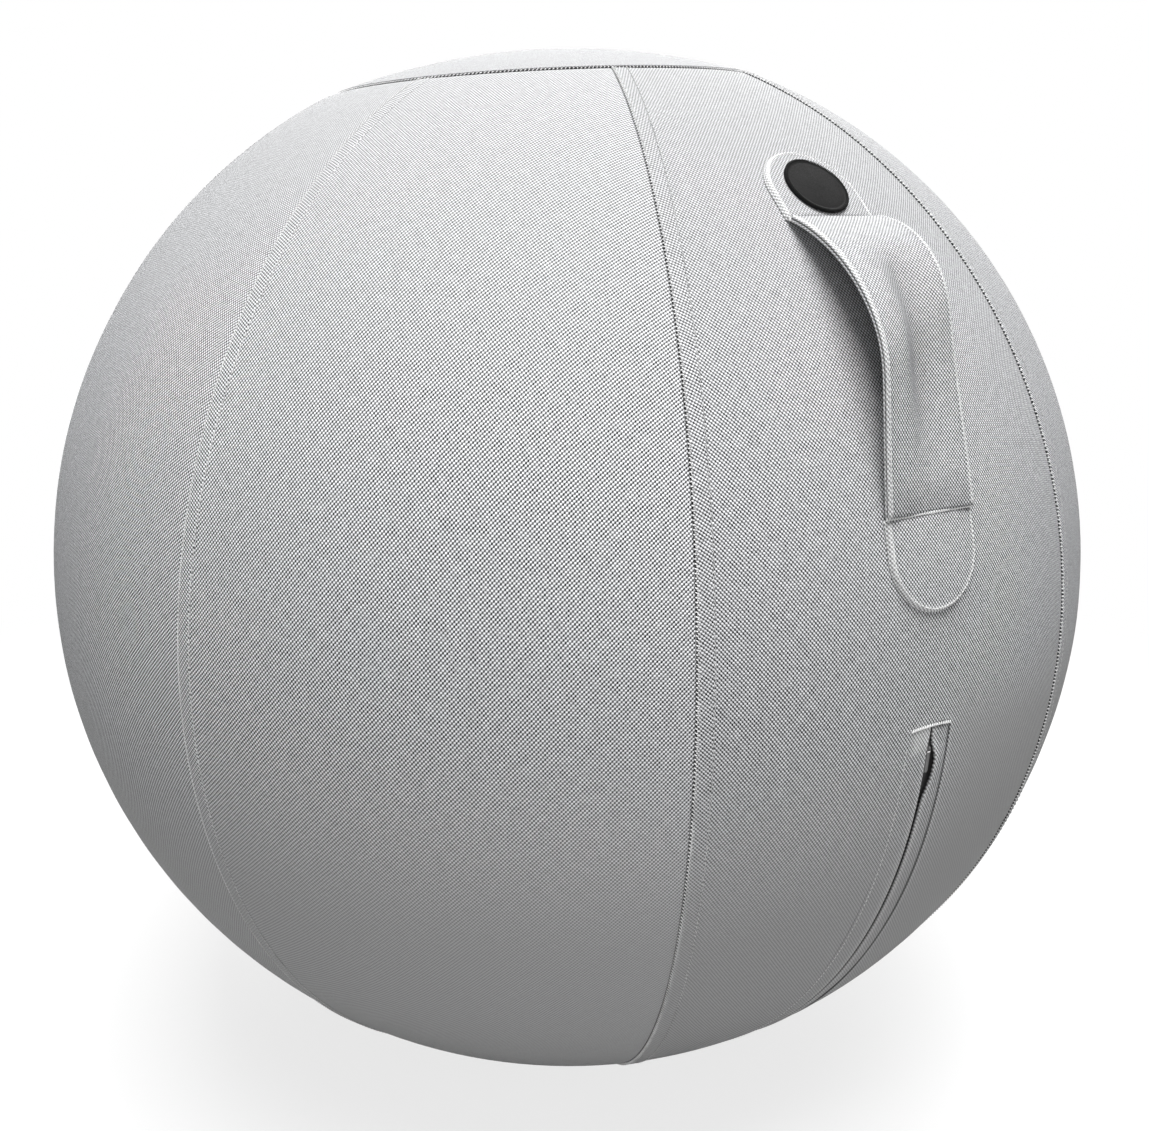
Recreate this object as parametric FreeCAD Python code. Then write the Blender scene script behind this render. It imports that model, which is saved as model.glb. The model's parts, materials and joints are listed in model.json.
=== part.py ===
import FreeCAD, Part
import math
import os

# Sitting ball: an inflated bladder in a sewn cover of eight long panels and two round caps,
# with a carrying strap and a concealed zip on the front panel.
# Millimetres and degrees. +Z is up, the strap and the zip face -Y, and the ball stands on Z = 0.

# Cover
ball_radius = 325.0            # outer radius round the middle
panel_count = 8
cap_seam_radius = 129.6        # radius of the seam round each cap
crown_rise = 21.0              # height of a cap's crown above its seam
floor_flat_radius = 50.0       # patch that the ball's weight flattens on the floor
fabric_thickness = 1.5
seam_rounding = 0.6            # rounding of the panels' edges along the seams
sewn_gap = 0.05                # air left between layers that are sewn flat together

# Bladder and its valve
bladder_gap = 0.3              # between the cover's inside and the bladder
bladder_wall = 1.2
bed_clearance = 0.5            # between the zip and the bladder that it beds into
valve_latitude = -33.0
valve_turn = 14.0              # round the ball from the zip, to the right
valve_hole_radius = 4.5
valve_boss_radius = 14.0
valve_boss_depth = 9.0         # inward from the bladder's outer face
plug_head_radius = 9.0
plug_head_thickness = 1.6
plug_stem_length = 12.0
plug_stem_clearance = 0.03
plug_head_clearance = 0.4

# Carrying strap
strap_width = 57.0
strap_ply = 1.1                # thickness of each of its two plies
upper_bar_latitude = 43.0      # stitched bar where the loop leaves the upper end
lower_bar_latitude = 16.1
crest_latitude = 33.5          # where the loop stands furthest off the ball
crest_clearance = 20.0         # finger room under the crest
crest_bend_radius = 66.0       # bend of the loop just below its crest
strap_end_lift = 0.3           # between the loop's ends and the ball
bar_gap = 0.3                  # between the loop's ends and the sewn end pieces
end_piece_straight = 18.0      # straight part of a sewn end, before its half round

# Badge
badge_from_bar = 21.0          # along the strap, from the upper bar to the badge's middle
badge_radius = 18.5
badge_thickness = 1.6
badge_edge_rounding = 0.6

# Zip window and its lips
window_top_latitude = -2.1
window_seam_margin = 37.0      # along the ball, from the window's lower end to the cap seam
left_lip_width = 15.5
right_lip_width = 11.5
slit_clearance = 0.34          # between each lip and the pull that moves along the slit
slit_edge_chamfer = 0.7
hem_clearance = 1.9            # between the slider's sides and the lips' hems

# Zip chain
tape_thickness = 0.6
coil_width = 2.3
coil_height = 2.4
stop_length = 3.0
stop_from_window = 1.0         # window's upper end to the top stops
chain_end_margin = 17.0        # window's lower end to the end of the coil

# Slider, its lug and its pull
slider_from_stop = 1.0
slider_length = 10.0
slider_wall = 1.05
slider_plate = 0.75
slider_clearance = 0.25        # round the coil and the tapes
slider_side_clearance = 0.55   # between the coil and the slider's side walls
slider_lip_clearance = 0.3     # between the slider and the lips over it
post_width = 0.9
post_length = 2.8
lug_width = 1.0
lug_radius = 0.95
lug_from_slider_top = 7.0      # along the slider, to the pull's pin
pin_depth = 0.8                # pin's axis under the ball's outer face
pin_radius = 0.45
pin_clearance = 0.05
pull_arm_gap = 0.06            # between the lug and each arm of the pull
pull_arm_width = 0.5
pull_thickness = 1.2
pull_length = 13.0
pull_throat_clearance = 0.45   # between the lug and the pull's solid tongue

# Derived places
cap_seam_angle = math.degrees(math.asin(cap_seam_radius / ball_radius))
cap_seam_height = math.sqrt(ball_radius ** 2 - cap_seam_radius ** 2)
crown_height = cap_seam_height + crown_rise
panel_angle = 360.0 / panel_count
front_azimuth = -90.0
pull_arm_inner = lug_width / 2.0 + pull_arm_gap
pull_arm_outer = pull_arm_inner + pull_arm_width
slit_half = pull_arm_outer + slit_clearance
window_left = -(slit_half + left_lip_width)
window_right = slit_half + right_lip_width
slider_top_depth = fabric_thickness + slider_lip_clearance
coil_top_depth = slider_top_depth + slider_plate + slider_clearance
coil_bottom_depth = coil_top_depth + coil_height
slider_bottom_depth = coil_bottom_depth + slider_clearance + slider_plate
chain_middle_depth = (coil_top_depth + coil_bottom_depth) / 2.0
hem_depth = chain_middle_depth - tape_thickness / 2.0
tape_inner_depth = chain_middle_depth + tape_thickness / 2.0
coil_inner_x = post_width / 2.0 + slider_clearance
coil_outer_x = coil_inner_x + coil_width
slider_cavity_half = coil_outer_x + slider_side_clearance
slider_half = slider_cavity_half + slider_wall
hem_reach = slider_half + hem_clearance
bladder_depth = fabric_thickness + bladder_gap
plug_seat_depth = plug_head_clearance + plug_head_thickness
end_piece_thickness = 2.0 * strap_ply + sewn_gap

origin = FreeCAD.Vector(0, 0, 0)
x_axis = FreeCAD.Vector(1, 0, 0)
y_axis = FreeCAD.Vector(0, 1, 0)
z_axis = FreeCAD.Vector(0, 0, 1)


def along_ball(distance):
    """Degrees that a distance along the cover takes."""
    return math.degrees(distance / ball_radius)


# Latitudes along the zip, from its upper end down
window_bottom_latitude = cap_seam_angle - 90.0 + along_ball(window_seam_margin)
stop_latitude = window_top_latitude - along_ball(stop_from_window)
chain_top_latitude = stop_latitude - along_ball(stop_length)
chain_bottom_latitude = window_bottom_latitude + along_ball(chain_end_margin)
slider_top_latitude = chain_top_latitude - along_ball(slider_from_stop)
slider_bottom_latitude = slider_top_latitude - along_ball(slider_length)
pin_latitude = slider_top_latitude - along_ball(lug_from_slider_top)


def dome_radius(depth):
    """Radius of the arc through a cap's seam and crown, at a depth under the outer face."""
    seam_x = (ball_radius - depth) * math.sin(math.radians(cap_seam_angle))
    seam_z = (ball_radius - depth) * math.cos(math.radians(cap_seam_angle))
    rise = crown_height - depth - seam_z
    return (seam_x ** 2 + rise ** 2) / (2.0 * rise)


def dome_height(depth, x):
    """Height of a cap's face above the ball's centre, at a distance from the axis."""
    radius = dome_radius(depth)
    return crown_height - depth - radius + math.sqrt(radius ** 2 - x ** 2)


def seam_point(depth, side):
    """Point of the cap seam in the XZ plane, on the upper side (1) or the lower (-1)."""
    angle = math.radians(cap_seam_angle)
    radius = ball_radius - depth
    return FreeCAD.Vector(radius * math.sin(angle), 0, side * radius * math.cos(angle))


def dome_point(depth, x, side):
    """Point of a cap's face in the XZ plane."""
    return FreeCAD.Vector(x, 0, side * dome_height(depth, x))


def dome_arc(depth, inner_x, side):
    """Arc of a cap's face from its seam to a distance from the axis."""
    start = seam_point(depth, side)
    middle = dome_point(depth, (start.x + inner_x) / 2.0, side)
    return Part.Arc(start, middle, dome_point(depth, inner_x, side)).toShape()


def belt_arc(depth):
    """Arc of the long panels' face from the lower cap seam to the upper one."""
    middle = FreeCAD.Vector(ball_radius - depth, 0, 0)
    return Part.Arc(seam_point(depth, -1), middle, seam_point(depth, 1)).toShape()


def line(start, end):
    """Straight edge between two points."""
    return Part.LineSegment(start, end).toShape()


def revolved(edges, angle, axis):
    """Solid of a closed profile turned about an axis through the ball's centre."""
    face = Part.Face(Part.Wire(Part.__sortEdges__(edges)))
    return face.revolve(origin, axis, angle)


def on_axis(point):
    """Foot of a point on the ball's upright axis."""
    return FreeCAD.Vector(0, 0, point.z)


def to_latitude(shape, latitude):
    """Turns a shape made at the front of the equator up to its latitude."""
    turned = shape.copy()
    turned.rotate(origin, x_axis, -latitude)
    return turned


def band_point(x, depth):
    """Point at the front of the equator, x to the right and so deep under the outer face."""
    return FreeCAD.Vector(x, -math.sqrt((ball_radius - depth) ** 2 - x ** 2), 0)


def band(profile, top_latitude, bottom_latitude):
    """Solid along the front meridian with a profile of (x, depth) points, which curve with the ball."""
    edges = []
    for (start_x, start_depth), (end_x, end_depth) in zip(profile, profile[1:] + profile[:1]):
        start = band_point(start_x, start_depth)
        end = band_point(end_x, end_depth)
        if start_depth == end_depth:
            middle = band_point((start_x + end_x) / 2.0, start_depth)
            edges.append(Part.Arc(start, middle, end).toShape())
        else:
            edges.append(line(start, end))
    solid = revolved(edges, top_latitude - bottom_latitude, x_axis)
    return to_latitude(solid, top_latitude)


def rounded(solid, edges, radius):
    """Solid with some of its edges rounded."""
    return solid.makeFillet(radius, edges)


def outer_edges(solid, radius):
    """Edges of a solid that lie on the ball's outer face."""
    found = []
    for edge in solid.Edges:
        if edge.Degenerated:
            continue
        points = edge.discretize(5)
        if all(abs(point.Length - radius) < 1e-4 for point in points):
            found.append(edge)
    return found


def top_cap():
    """Round panel over the ball's top."""
    outer = dome_arc(0.0, 0.0, 1)
    inner = dome_arc(fabric_thickness, 0.0, 1)
    seam = line(seam_point(0.0, 1), seam_point(fabric_thickness, 1))
    axis = line(dome_point(0.0, 0.0, 1), dome_point(fabric_thickness, 0.0, 1))
    solid = revolved([outer, seam, inner, axis], 360, z_axis)
    return rounded(solid, outer_edges(solid, ball_radius), seam_rounding)


def bottom_cap():
    """Round panel under the ball, flat where it stands on the floor."""
    outer = dome_arc(0.0, floor_flat_radius, -1)
    inner = dome_arc(fabric_thickness, floor_flat_radius, -1)
    seam = line(seam_point(0.0, -1), seam_point(fabric_thickness, -1))
    outer_rim = dome_point(0.0, floor_flat_radius, -1)
    inner_rim = dome_point(fabric_thickness, floor_flat_radius, -1)
    flat = line(outer_rim, on_axis(outer_rim))
    inner_flat = line(inner_rim, on_axis(inner_rim))
    axis = line(on_axis(outer_rim), on_axis(inner_rim))
    solid = revolved([outer, seam, inner, flat, inner_flat, axis], 360, z_axis)
    return rounded(solid, outer_edges(solid, ball_radius), seam_rounding)


def long_panel(index):
    """Long panel from cap to cap. Panel 0 is at the front, and the rest follow to its right."""
    upper = line(seam_point(0.0, 1), seam_point(fabric_thickness, 1))
    lower = line(seam_point(0.0, -1), seam_point(fabric_thickness, -1))
    edges = [belt_arc(0.0), upper, belt_arc(fabric_thickness), lower]
    solid = revolved(edges, panel_angle, z_axis)
    solid = rounded(solid, outer_edges(solid, ball_radius), seam_rounding)
    solid.rotate(origin, z_axis, front_azimuth + (index - 0.5) * panel_angle)
    return solid


def zip_panel():
    """Front panel, with the window that the zip is sewn into."""
    over = -fabric_thickness
    under = 2.0 * fabric_thickness
    profile = [(window_left, over), (window_right, over), (window_right, under), (window_left, under)]
    return long_panel(0).cut(band(profile, window_top_latitude, window_bottom_latitude))


def zip_lip(side):
    """Folded strip that covers one side of the zip (-1 left, 1 right)."""
    outer_x = window_right if side > 0 else -window_left
    profile = [
        (slit_half, fabric_thickness),
        (slit_half, slit_edge_chamfer),
        (slit_half + slit_edge_chamfer, 0.0),
        (outer_x, 0.0),
        (outer_x, hem_depth),
        (hem_reach, hem_depth),
        (hem_reach, fabric_thickness),
    ]
    profile = [(side * x, depth) for x, depth in profile]
    return band(profile, window_top_latitude, window_bottom_latitude)


def zip_tape(side):
    """Woven tape under one lip, which carries one row of the coil."""
    outer_x = window_right if side > 0 else -window_left
    profile = [
        (coil_outer_x, hem_depth),
        (outer_x, hem_depth),
        (outer_x, tape_inner_depth),
        (coil_outer_x, tape_inner_depth),
    ]
    profile = [(side * x, depth) for x, depth in profile]
    return band(profile, window_top_latitude, window_bottom_latitude)


def chain_profile(side):
    """Section of one row of the coil."""
    profile = [
        (coil_inner_x, coil_top_depth),
        (coil_outer_x, coil_top_depth),
        (coil_outer_x, coil_bottom_depth),
        (coil_inner_x, coil_bottom_depth),
    ]
    return [(side * x, depth) for x, depth in profile]


def zip_coil(side):
    """One row of the zip's coil."""
    return band(chain_profile(side), chain_top_latitude, chain_bottom_latitude)


def zip_top_stops():
    """Two stops, clamped at the upper end of the coil."""
    stops = [band(chain_profile(side), stop_latitude, chain_top_latitude) for side in (-1, 1)]
    return Part.makeCompound(stops)


def zip_bottom_stop():
    """Block that joins the two rows at their lower end."""
    profile = [
        (-coil_outer_x, coil_top_depth),
        (coil_outer_x, coil_top_depth),
        (coil_outer_x, coil_bottom_depth),
        (-coil_outer_x, coil_bottom_depth),
    ]
    lower = chain_bottom_latitude - along_ball(stop_length)
    return band(profile, chain_bottom_latitude, lower)


def pin_bar(radius, half_length):
    """Round bar along the pull's pin, made at the front of the equator."""
    start = FreeCAD.Vector(-half_length, -(ball_radius - pin_depth), 0)
    return Part.makeCylinder(radius, 2.0 * half_length, start, x_axis)


def block(x_from, x_to, depth_from, depth_to, down_from, down_to):
    """Straight block at the front of the equator, measured from the outer face and downward."""
    corner = FreeCAD.Vector(x_from, -(ball_radius - depth_from), -down_to)
    return Part.makeBox(x_to - x_from, depth_to - depth_from, down_to - down_from, corner)


def slider_plate_band(face_depth, inward):
    """One plate of the slider with its two side walls. inward is 1 for the outer plate, -1 for the inner."""
    cavity = face_depth + inward * slider_plate
    wall_end = chain_middle_depth - inward * (tape_thickness / 2.0 + slider_clearance)
    profile = [
        (-slider_half, face_depth),
        (slider_half, face_depth),
        (slider_half, wall_end),
        (slider_cavity_half, wall_end),
        (slider_cavity_half, cavity),
        (-slider_cavity_half, cavity),
        (-slider_cavity_half, wall_end),
        (-slider_half, wall_end),
    ]
    return band(profile, slider_top_latitude, slider_bottom_latitude)


def zip_slider():
    """Slider: two plates round the coil, the post that parts it and the lug for the pull."""
    half_post = post_width / 2.0
    post_top = slider_top_depth + slider_plate / 2.0
    post_bottom = slider_bottom_depth - slider_plate / 2.0
    post_profile = [
        (-half_post, post_top),
        (half_post, post_top),
        (half_post, post_bottom),
        (-half_post, post_bottom),
    ]
    post = band(post_profile, slider_top_latitude, slider_top_latitude - along_ball(post_length))
    half_lug = lug_width / 2.0
    foot_depth = slider_top_depth + slider_plate / 2.0
    lug = pin_bar(lug_radius, half_lug)
    lug = lug.fuse(block(-half_lug, half_lug, pin_depth, foot_depth, -lug_radius, lug_radius))
    lug = lug.cut(pin_bar(pin_radius + pin_clearance, lug_width))
    outer = slider_plate_band(slider_top_depth, 1)
    inner = slider_plate_band(slider_bottom_depth, -1)
    return outer.fuse([inner, post, to_latitude(lug, pin_latitude)]).removeSplitter()


def zip_pull():
    """Narrow tongue that hangs from the slider's lug on a pin."""
    top = pin_depth - pull_thickness / 2.0
    bottom = pin_depth + pull_thickness / 2.0
    throat = lug_radius + pull_throat_clearance
    tip_middle = pull_length - pull_arm_outer
    tip = FreeCAD.Vector(0, -(ball_radius - top), -tip_middle)
    pieces = [
        block(-pull_arm_outer, pull_arm_outer, top, bottom, throat, tip_middle),
        Part.makeCylinder(pull_arm_outer, pull_thickness, tip, y_axis),
    ]
    for side in (-1, 1):
        low, high = sorted((side * pull_arm_inner, side * pull_arm_outer))
        pieces.append(block(low, high, top, bottom, 0.0, throat))
        eye = FreeCAD.Vector(low, -(ball_radius - pin_depth), 0)
        pieces.append(Part.makeCylinder(pull_thickness / 2.0, pull_arm_width, eye, x_axis))
    pull = pin_bar(pin_radius, pull_arm_outer).fuse(pieces).removeSplitter()
    return to_latitude(pull, pin_latitude)


def solid_ball(depth):
    """Solid of the ball's whole form at a depth under the cover's outer face."""
    upper_seam = seam_point(depth, 1)
    lower_rim = dome_point(depth, floor_flat_radius, -1)
    crown = dome_point(depth, 0.0, 1)
    edges = [
        dome_arc(depth, 0.0, 1),
        belt_arc(depth),
        dome_arc(depth, floor_flat_radius, -1),
        line(lower_rim, on_axis(lower_rim)),
        line(on_axis(lower_rim), on_axis(upper_seam)),
        line(on_axis(upper_seam), crown),
    ]
    return revolved(edges, 360, z_axis)


def zip_bed(margin):
    """Hollow in the bladder that the zip beds into, larger all round by a margin."""
    reach = bed_clearance + margin
    tape_floor = tape_inner_depth + reach
    slider_floor = slider_bottom_depth + reach
    slider_wall = slider_half + reach
    profile = [
        (window_left - reach, -fabric_thickness),
        (window_right + reach, -fabric_thickness),
        (window_right + reach, tape_floor),
        (slider_wall, tape_floor),
        (slider_wall, slider_floor),
        (-slider_wall, slider_floor),
        (-slider_wall, tape_floor),
        (window_left - reach, tape_floor),
    ]
    end = along_ball(reach)
    return band(profile, window_top_latitude + end, window_bottom_latitude - end)


def to_valve(shape):
    """Turns a shape made at the front of the equator to the valve's place."""
    turned = to_latitude(shape, valve_latitude)
    turned.rotate(origin, z_axis, valve_turn)
    return turned


def valve_cylinder(radius, depth_from, depth_to):
    """Cylinder along the valve's axis between two depths under the bladder's outer face."""
    face = ball_radius - bladder_depth
    start = FreeCAD.Vector(0, -(face - depth_from), 0)
    return to_valve(Part.makeCylinder(radius, depth_to - depth_from, start, y_axis))


def bladder():
    """Inflated inner ball, with the bed for the zip and a thick boss round its valve hole."""
    outer = solid_ball(bladder_depth).cut(zip_bed(0.0))
    inner = solid_ball(bladder_depth + bladder_wall).cut(zip_bed(bladder_wall))
    boss = valve_cylinder(valve_boss_radius, -bladder_gap, valve_boss_depth).common(outer)
    seat = valve_cylinder(plug_head_radius + plug_head_clearance, -bladder_gap, plug_seat_depth)
    hole = valve_cylinder(valve_hole_radius, -bladder_gap, valve_boss_depth + bladder_wall)
    return outer.cut(inner).fuse(boss).cut(seat.fuse(hole))


def valve_plug():
    """Plug pressed into the bladder's valve hole, with its head sunk in the seat."""
    head = valve_cylinder(plug_head_radius, plug_head_clearance, plug_seat_depth)
    stem_end = plug_seat_depth + plug_stem_length
    stem = valve_cylinder(valve_hole_radius - plug_stem_clearance, plug_head_clearance, stem_end)
    return head.fuse(stem).removeSplitter()


def strap_point(radius, angle):
    """Point of the loop by its distance from the ball's centre and its angle above the crest."""
    return FreeCAD.Vector(0, -radius * math.cos(angle), radius * math.sin(angle))


def strap_path(offset):
    """Edges of the loop's line from bar to bar, moved outward from its underside, and its two ends."""
    crest = ball_radius + crest_clearance
    end_radius = ball_radius + strap_end_lift
    upper_angle = math.radians(upper_bar_latitude - crest_latitude - along_ball(bar_gap))
    lower_angle = math.radians(crest_latitude - lower_bar_latitude - along_ball(bar_gap))

    # The upper bend is level at the crest and comes down to the upper bar
    upper_drop = crest - end_radius * math.cos(upper_angle)
    upper_bend = ((end_radius * math.sin(upper_angle)) ** 2 + upper_drop ** 2) / (2.0 * upper_drop)
    upper_middle = crest - upper_bend
    beside = upper_middle * math.sin(upper_angle)
    top_radius = upper_middle * math.cos(upper_angle) + math.sqrt((upper_bend + offset) ** 2 - beside ** 2)
    top = strap_point(top_radius, upper_angle)
    upper_turn = math.atan2(top.z, -top.y - upper_middle)

    # The lower bend is level at the crest too, and a straight run goes on from it to the lower bar
    lower_middle = crest - crest_bend_radius
    foot_along = end_radius * math.sin(lower_angle)
    foot_up = end_radius * math.cos(lower_angle) - lower_middle
    lean = math.acos(crest_bend_radius / math.hypot(foot_along, foot_up))
    lower_turn = math.atan2(foot_along, foot_up) - lean
    bend_reach = crest_bend_radius + offset + lower_middle * math.cos(lower_turn)
    foot = strap_point(bend_reach / math.cos(lower_angle - lower_turn), -lower_angle)

    def on_bend(bend, turn):
        """Point on a bend of the loop, by its turn from the crest (positive is up)."""
        radius = bend + offset
        return FreeCAD.Vector(0, bend - crest - radius * math.cos(turn), radius * math.sin(turn))

    level = on_bend(upper_bend, 0.0)
    over_crest = Part.Arc(top, on_bend(upper_bend, upper_turn / 2.0), level)
    tangent = on_bend(crest_bend_radius, -lower_turn)
    under_crest = Part.Arc(level, on_bend(crest_bend_radius, -lower_turn / 2.0), tangent)
    return [over_crest.toShape(), under_crest.toShape(), line(tangent, foot)], top, foot


def strap_loop_ply(inner_offset):
    """One ply of the loop between the two stitched bars."""
    under, under_top, under_foot = strap_path(inner_offset)
    over, over_top, over_foot = strap_path(inner_offset + strap_ply)
    edges = under + over + [line(under_top, over_top), line(under_foot, over_foot)]
    face = Part.Face(Part.Wire(Part.__sortEdges__(edges)))
    face.translate(x_axis * (-strap_width / 2.0))
    return to_latitude(face.extrude(x_axis * strap_width), crest_latitude)


def spherical_shell(radius, thickness):
    """Hollow ball about the cover's centre."""
    return Part.makeSphere(radius + thickness).cut(Part.makeSphere(radius))


def strap_end_piece(bar_latitude, side):
    """Sewn end of the strap, half round at its tip, above its stitched bar (1) or below it (-1)."""
    half = strap_width / 2.0
    middle_latitude = bar_latitude + side * along_ball(end_piece_straight)
    far = -(ball_radius + 2.0 * end_piece_thickness)
    start_left = FreeCAD.Vector(-half, far, -side * end_piece_straight)
    start_right = FreeCAD.Vector(half, far, -side * end_piece_straight)
    shoulder_left = FreeCAD.Vector(-half, far, 0)
    shoulder_right = FreeCAD.Vector(half, far, 0)
    tip = Part.Arc(shoulder_right, FreeCAD.Vector(0, far, side * half), shoulder_left).toShape()
    edges = [
        line(start_left, start_right),
        line(start_right, shoulder_right),
        tip,
        line(shoulder_left, start_left),
    ]
    outline = Part.Face(Part.Wire(edges))
    prism = outline.extrude(FreeCAD.Vector(0, strap_width / 2.0, 0))
    shell = spherical_shell(ball_radius + sewn_gap, end_piece_thickness)
    return to_latitude(prism, middle_latitude).common(shell)


def badge():
    """Plain round badge on the strap's upper end."""
    face_radius = ball_radius + sewn_gap + end_piece_thickness + sewn_gap
    far = FreeCAD.Vector(0, -(face_radius + 2.0 * badge_thickness), 0)
    cylinder = Part.makeCylinder(badge_radius, badge_radius, far, y_axis)
    latitude = upper_bar_latitude + along_ball(badge_from_bar)
    disc = to_latitude(cylinder, latitude).common(spherical_shell(face_radius, badge_thickness))
    return rounded(disc, outer_edges(disc, face_radius + badge_thickness), badge_edge_rounding)


def all_nodes():
    """Every piece by its name, about the ball's centre."""
    nodes = {"top_cap": top_cap(), "bottom_cap": bottom_cap(), "zip_panel": zip_panel()}
    for index in range(1, panel_count):
        nodes["long_panel_%d" % index] = long_panel(index)
    nodes["strap_upper_end"] = strap_end_piece(upper_bar_latitude, 1)
    nodes["strap_lower_end"] = strap_end_piece(lower_bar_latitude, -1)
    nodes["strap_inner_ply"] = strap_loop_ply(0.0)
    nodes["strap_outer_ply"] = strap_loop_ply(strap_ply + sewn_gap)
    nodes["badge"] = badge()
    for name, side in (("left", -1), ("right", 1)):
        nodes["zip_lip_" + name] = zip_lip(side)
        nodes["zip_tape_" + name] = zip_tape(side)
        nodes["zip_coil_" + name] = zip_coil(side)
    nodes["zip_top_stops"] = zip_top_stops()
    nodes["zip_bottom_stop"] = zip_bottom_stop()
    nodes["zip_slider"] = zip_slider()
    nodes["zip_pull"] = zip_pull()
    nodes["bladder"] = bladder()
    nodes["valve_plug"] = valve_plug()
    return nodes


def main():
    """Stands the ball on the floor and writes one file for each piece."""
    os.makedirs("parts", exist_ok=True)
    centre_height = dome_height(0.0, floor_flat_radius)
    for name, shape in all_nodes().items():
        shape.translate(FreeCAD.Vector(0, 0, centre_height))
        shape.exportStep("parts/%s.step" % name)
        solids = len(shape.Solids)
        print("%-18s %d solid, %.1f cm3, valid %s" % (name, solids, shape.Volume / 1000.0, shape.isValid()))


main()
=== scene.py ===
"""Dresses a sitting ball: its woven cover, its carrying strap, its badge and its concealed zip."""

import json
import logging
import math
from dataclasses import dataclass
from enum import Enum
from typing import NamedTuple

import bpy
import numpy as np
from mathutils import Matrix, Vector


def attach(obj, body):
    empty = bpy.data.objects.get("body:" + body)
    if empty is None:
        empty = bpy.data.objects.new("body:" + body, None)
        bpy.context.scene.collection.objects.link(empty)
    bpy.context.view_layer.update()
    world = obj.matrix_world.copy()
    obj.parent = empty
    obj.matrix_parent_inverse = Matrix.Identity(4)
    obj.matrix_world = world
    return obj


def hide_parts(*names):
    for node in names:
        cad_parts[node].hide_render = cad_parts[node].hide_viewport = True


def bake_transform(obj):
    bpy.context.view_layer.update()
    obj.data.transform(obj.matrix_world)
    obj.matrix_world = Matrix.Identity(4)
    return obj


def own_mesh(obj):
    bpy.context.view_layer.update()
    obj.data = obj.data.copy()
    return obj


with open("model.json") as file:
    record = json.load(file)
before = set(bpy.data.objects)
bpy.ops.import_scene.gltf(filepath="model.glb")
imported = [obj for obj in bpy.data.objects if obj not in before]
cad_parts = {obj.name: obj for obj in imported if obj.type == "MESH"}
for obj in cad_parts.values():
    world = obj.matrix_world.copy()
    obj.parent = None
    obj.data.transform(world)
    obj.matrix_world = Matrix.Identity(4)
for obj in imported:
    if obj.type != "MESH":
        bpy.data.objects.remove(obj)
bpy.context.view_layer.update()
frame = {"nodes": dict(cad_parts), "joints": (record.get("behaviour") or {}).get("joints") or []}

Array = np.ndarray
Faces = list[list[int]]
Line = tuple[Array, Array]
Piece = bpy.types.Object
Material = bpy.types.Material
Socket = bpy.types.NodeSocket
Node = bpy.types.Node
Span = tuple[float, float]
Value = float | Socket
MM = 0.001
RIGHT = np.array([1.0, 0.0, 0.0])
UP = np.array([0.0, 0.0, 1.0])
EDGE_FIELDS = ("height", "crease", "worn")
log = logging.getLogger("sitting_ball")


class Body(Enum):
    """Bodies of the frame that pieces move with."""

    COVER = "cover"
    STRAP = "strap"
    PULL = "pull"


class Slot(Enum):
    """Finishes of the record that the calls name for new pieces."""

    COVER = "cover_fabric"
    STRAP = "strap_fabric"
    BADGE = "badge_rubber"
    COIL = "zip_coil"


class Side(Enum):
    """Sides of the zip and of the strap, as seen from outside the ball."""

    LEFT = -1
    RIGHT = 1


class End(Enum):
    """Upper and lower ends of the ball and of the strap."""

    UPPER = 1
    LOWER = -1


class EdgePoint(NamedTuple):
    """Point of an edge's section, in millimetres from the edge and above the cover.

    Attributes:
        across: distance from the seam or fold.
        height: height above the cover's face.
        crease: painted shade at the point, darkening its colour as a seam's hollow would, from 0 to 1.
        worn: how far wear and painted highlight lighten the point, from 0 to 1.
    """

    across: float
    height: float
    crease: float = 0.0
    worn: float = 0.0


class StitchPlace(NamedTuple):
    """Distance from a long seam and height, in millimetres, and degrees that stitches face left."""

    across: float
    height: float
    lean: float


class Softbox(NamedTuple):
    """Soft square light: watts, metres wide and off the ball, degrees right of its front and up."""

    name: str
    power: float
    size: float
    distance: float
    azimuth: float
    elevation: float


def edge_section(*points: tuple[float, ...]) -> tuple[EdgePoint, ...]:
    """Section of an edge from the fields of its points."""
    return tuple(EdgePoint(*point) for point in points)


def section_field(points: tuple[EdgePoint, ...], field: str) -> Array:
    """One field of every point of an edge's section."""
    return np.array([getattr(point, field) for point in points])


def table_value(points: tuple[EdgePoint, ...], field: str, across: Array) -> Array:
    """Reads one field of an edge's section at some distances from the edge, level beyond its ends."""
    return np.interp(across, section_field(points, "across"), section_field(points, field))


def smooth(low: float, high: float, value: Array) -> Array:
    """Soft step from 0 at low to 1 at high."""
    share = np.clip((value - low) / (high - low), 0.0, 1.0)
    return share * share * (3.0 - 2.0 * share)


def unit(vectors: Array) -> Array:
    """Vectors at length 1."""
    return vectors / np.linalg.norm(vectors, axis=-1, keepdims=True)


def full_turn(count: int) -> Array:
    """Angles of places evenly round a circle, in radians."""
    return np.arange(count) * 2.0 * math.pi / count


def length_along(points: Array) -> Array:
    """Lengths along a line from its first point to each of its points."""
    steps = np.linalg.norm(np.diff(points, axis=0), axis=1)
    return np.concatenate([[0.0], np.cumsum(steps)])


def graded(start: float, stop: float, offsets: tuple[float, ...], step: float) -> Array:
    """Places from start to stop, close together near both ends.

    Args:
        start: first place.
        stop: last place.
        offsets: distances from each end of the close places, from 0 up.
        step: largest distance between the places in the middle.

    Returns:
        The places in rising order.
    """
    count = max(2, round((stop - start - 2 * offsets[-1]) / step))
    middle = np.linspace(start + offsets[-1], stop - offsets[-1], count + 1)[1:-1]
    near = np.array(offsets)
    return np.concatenate([start + near, middle, (stop - near)[::-1]])


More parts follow.
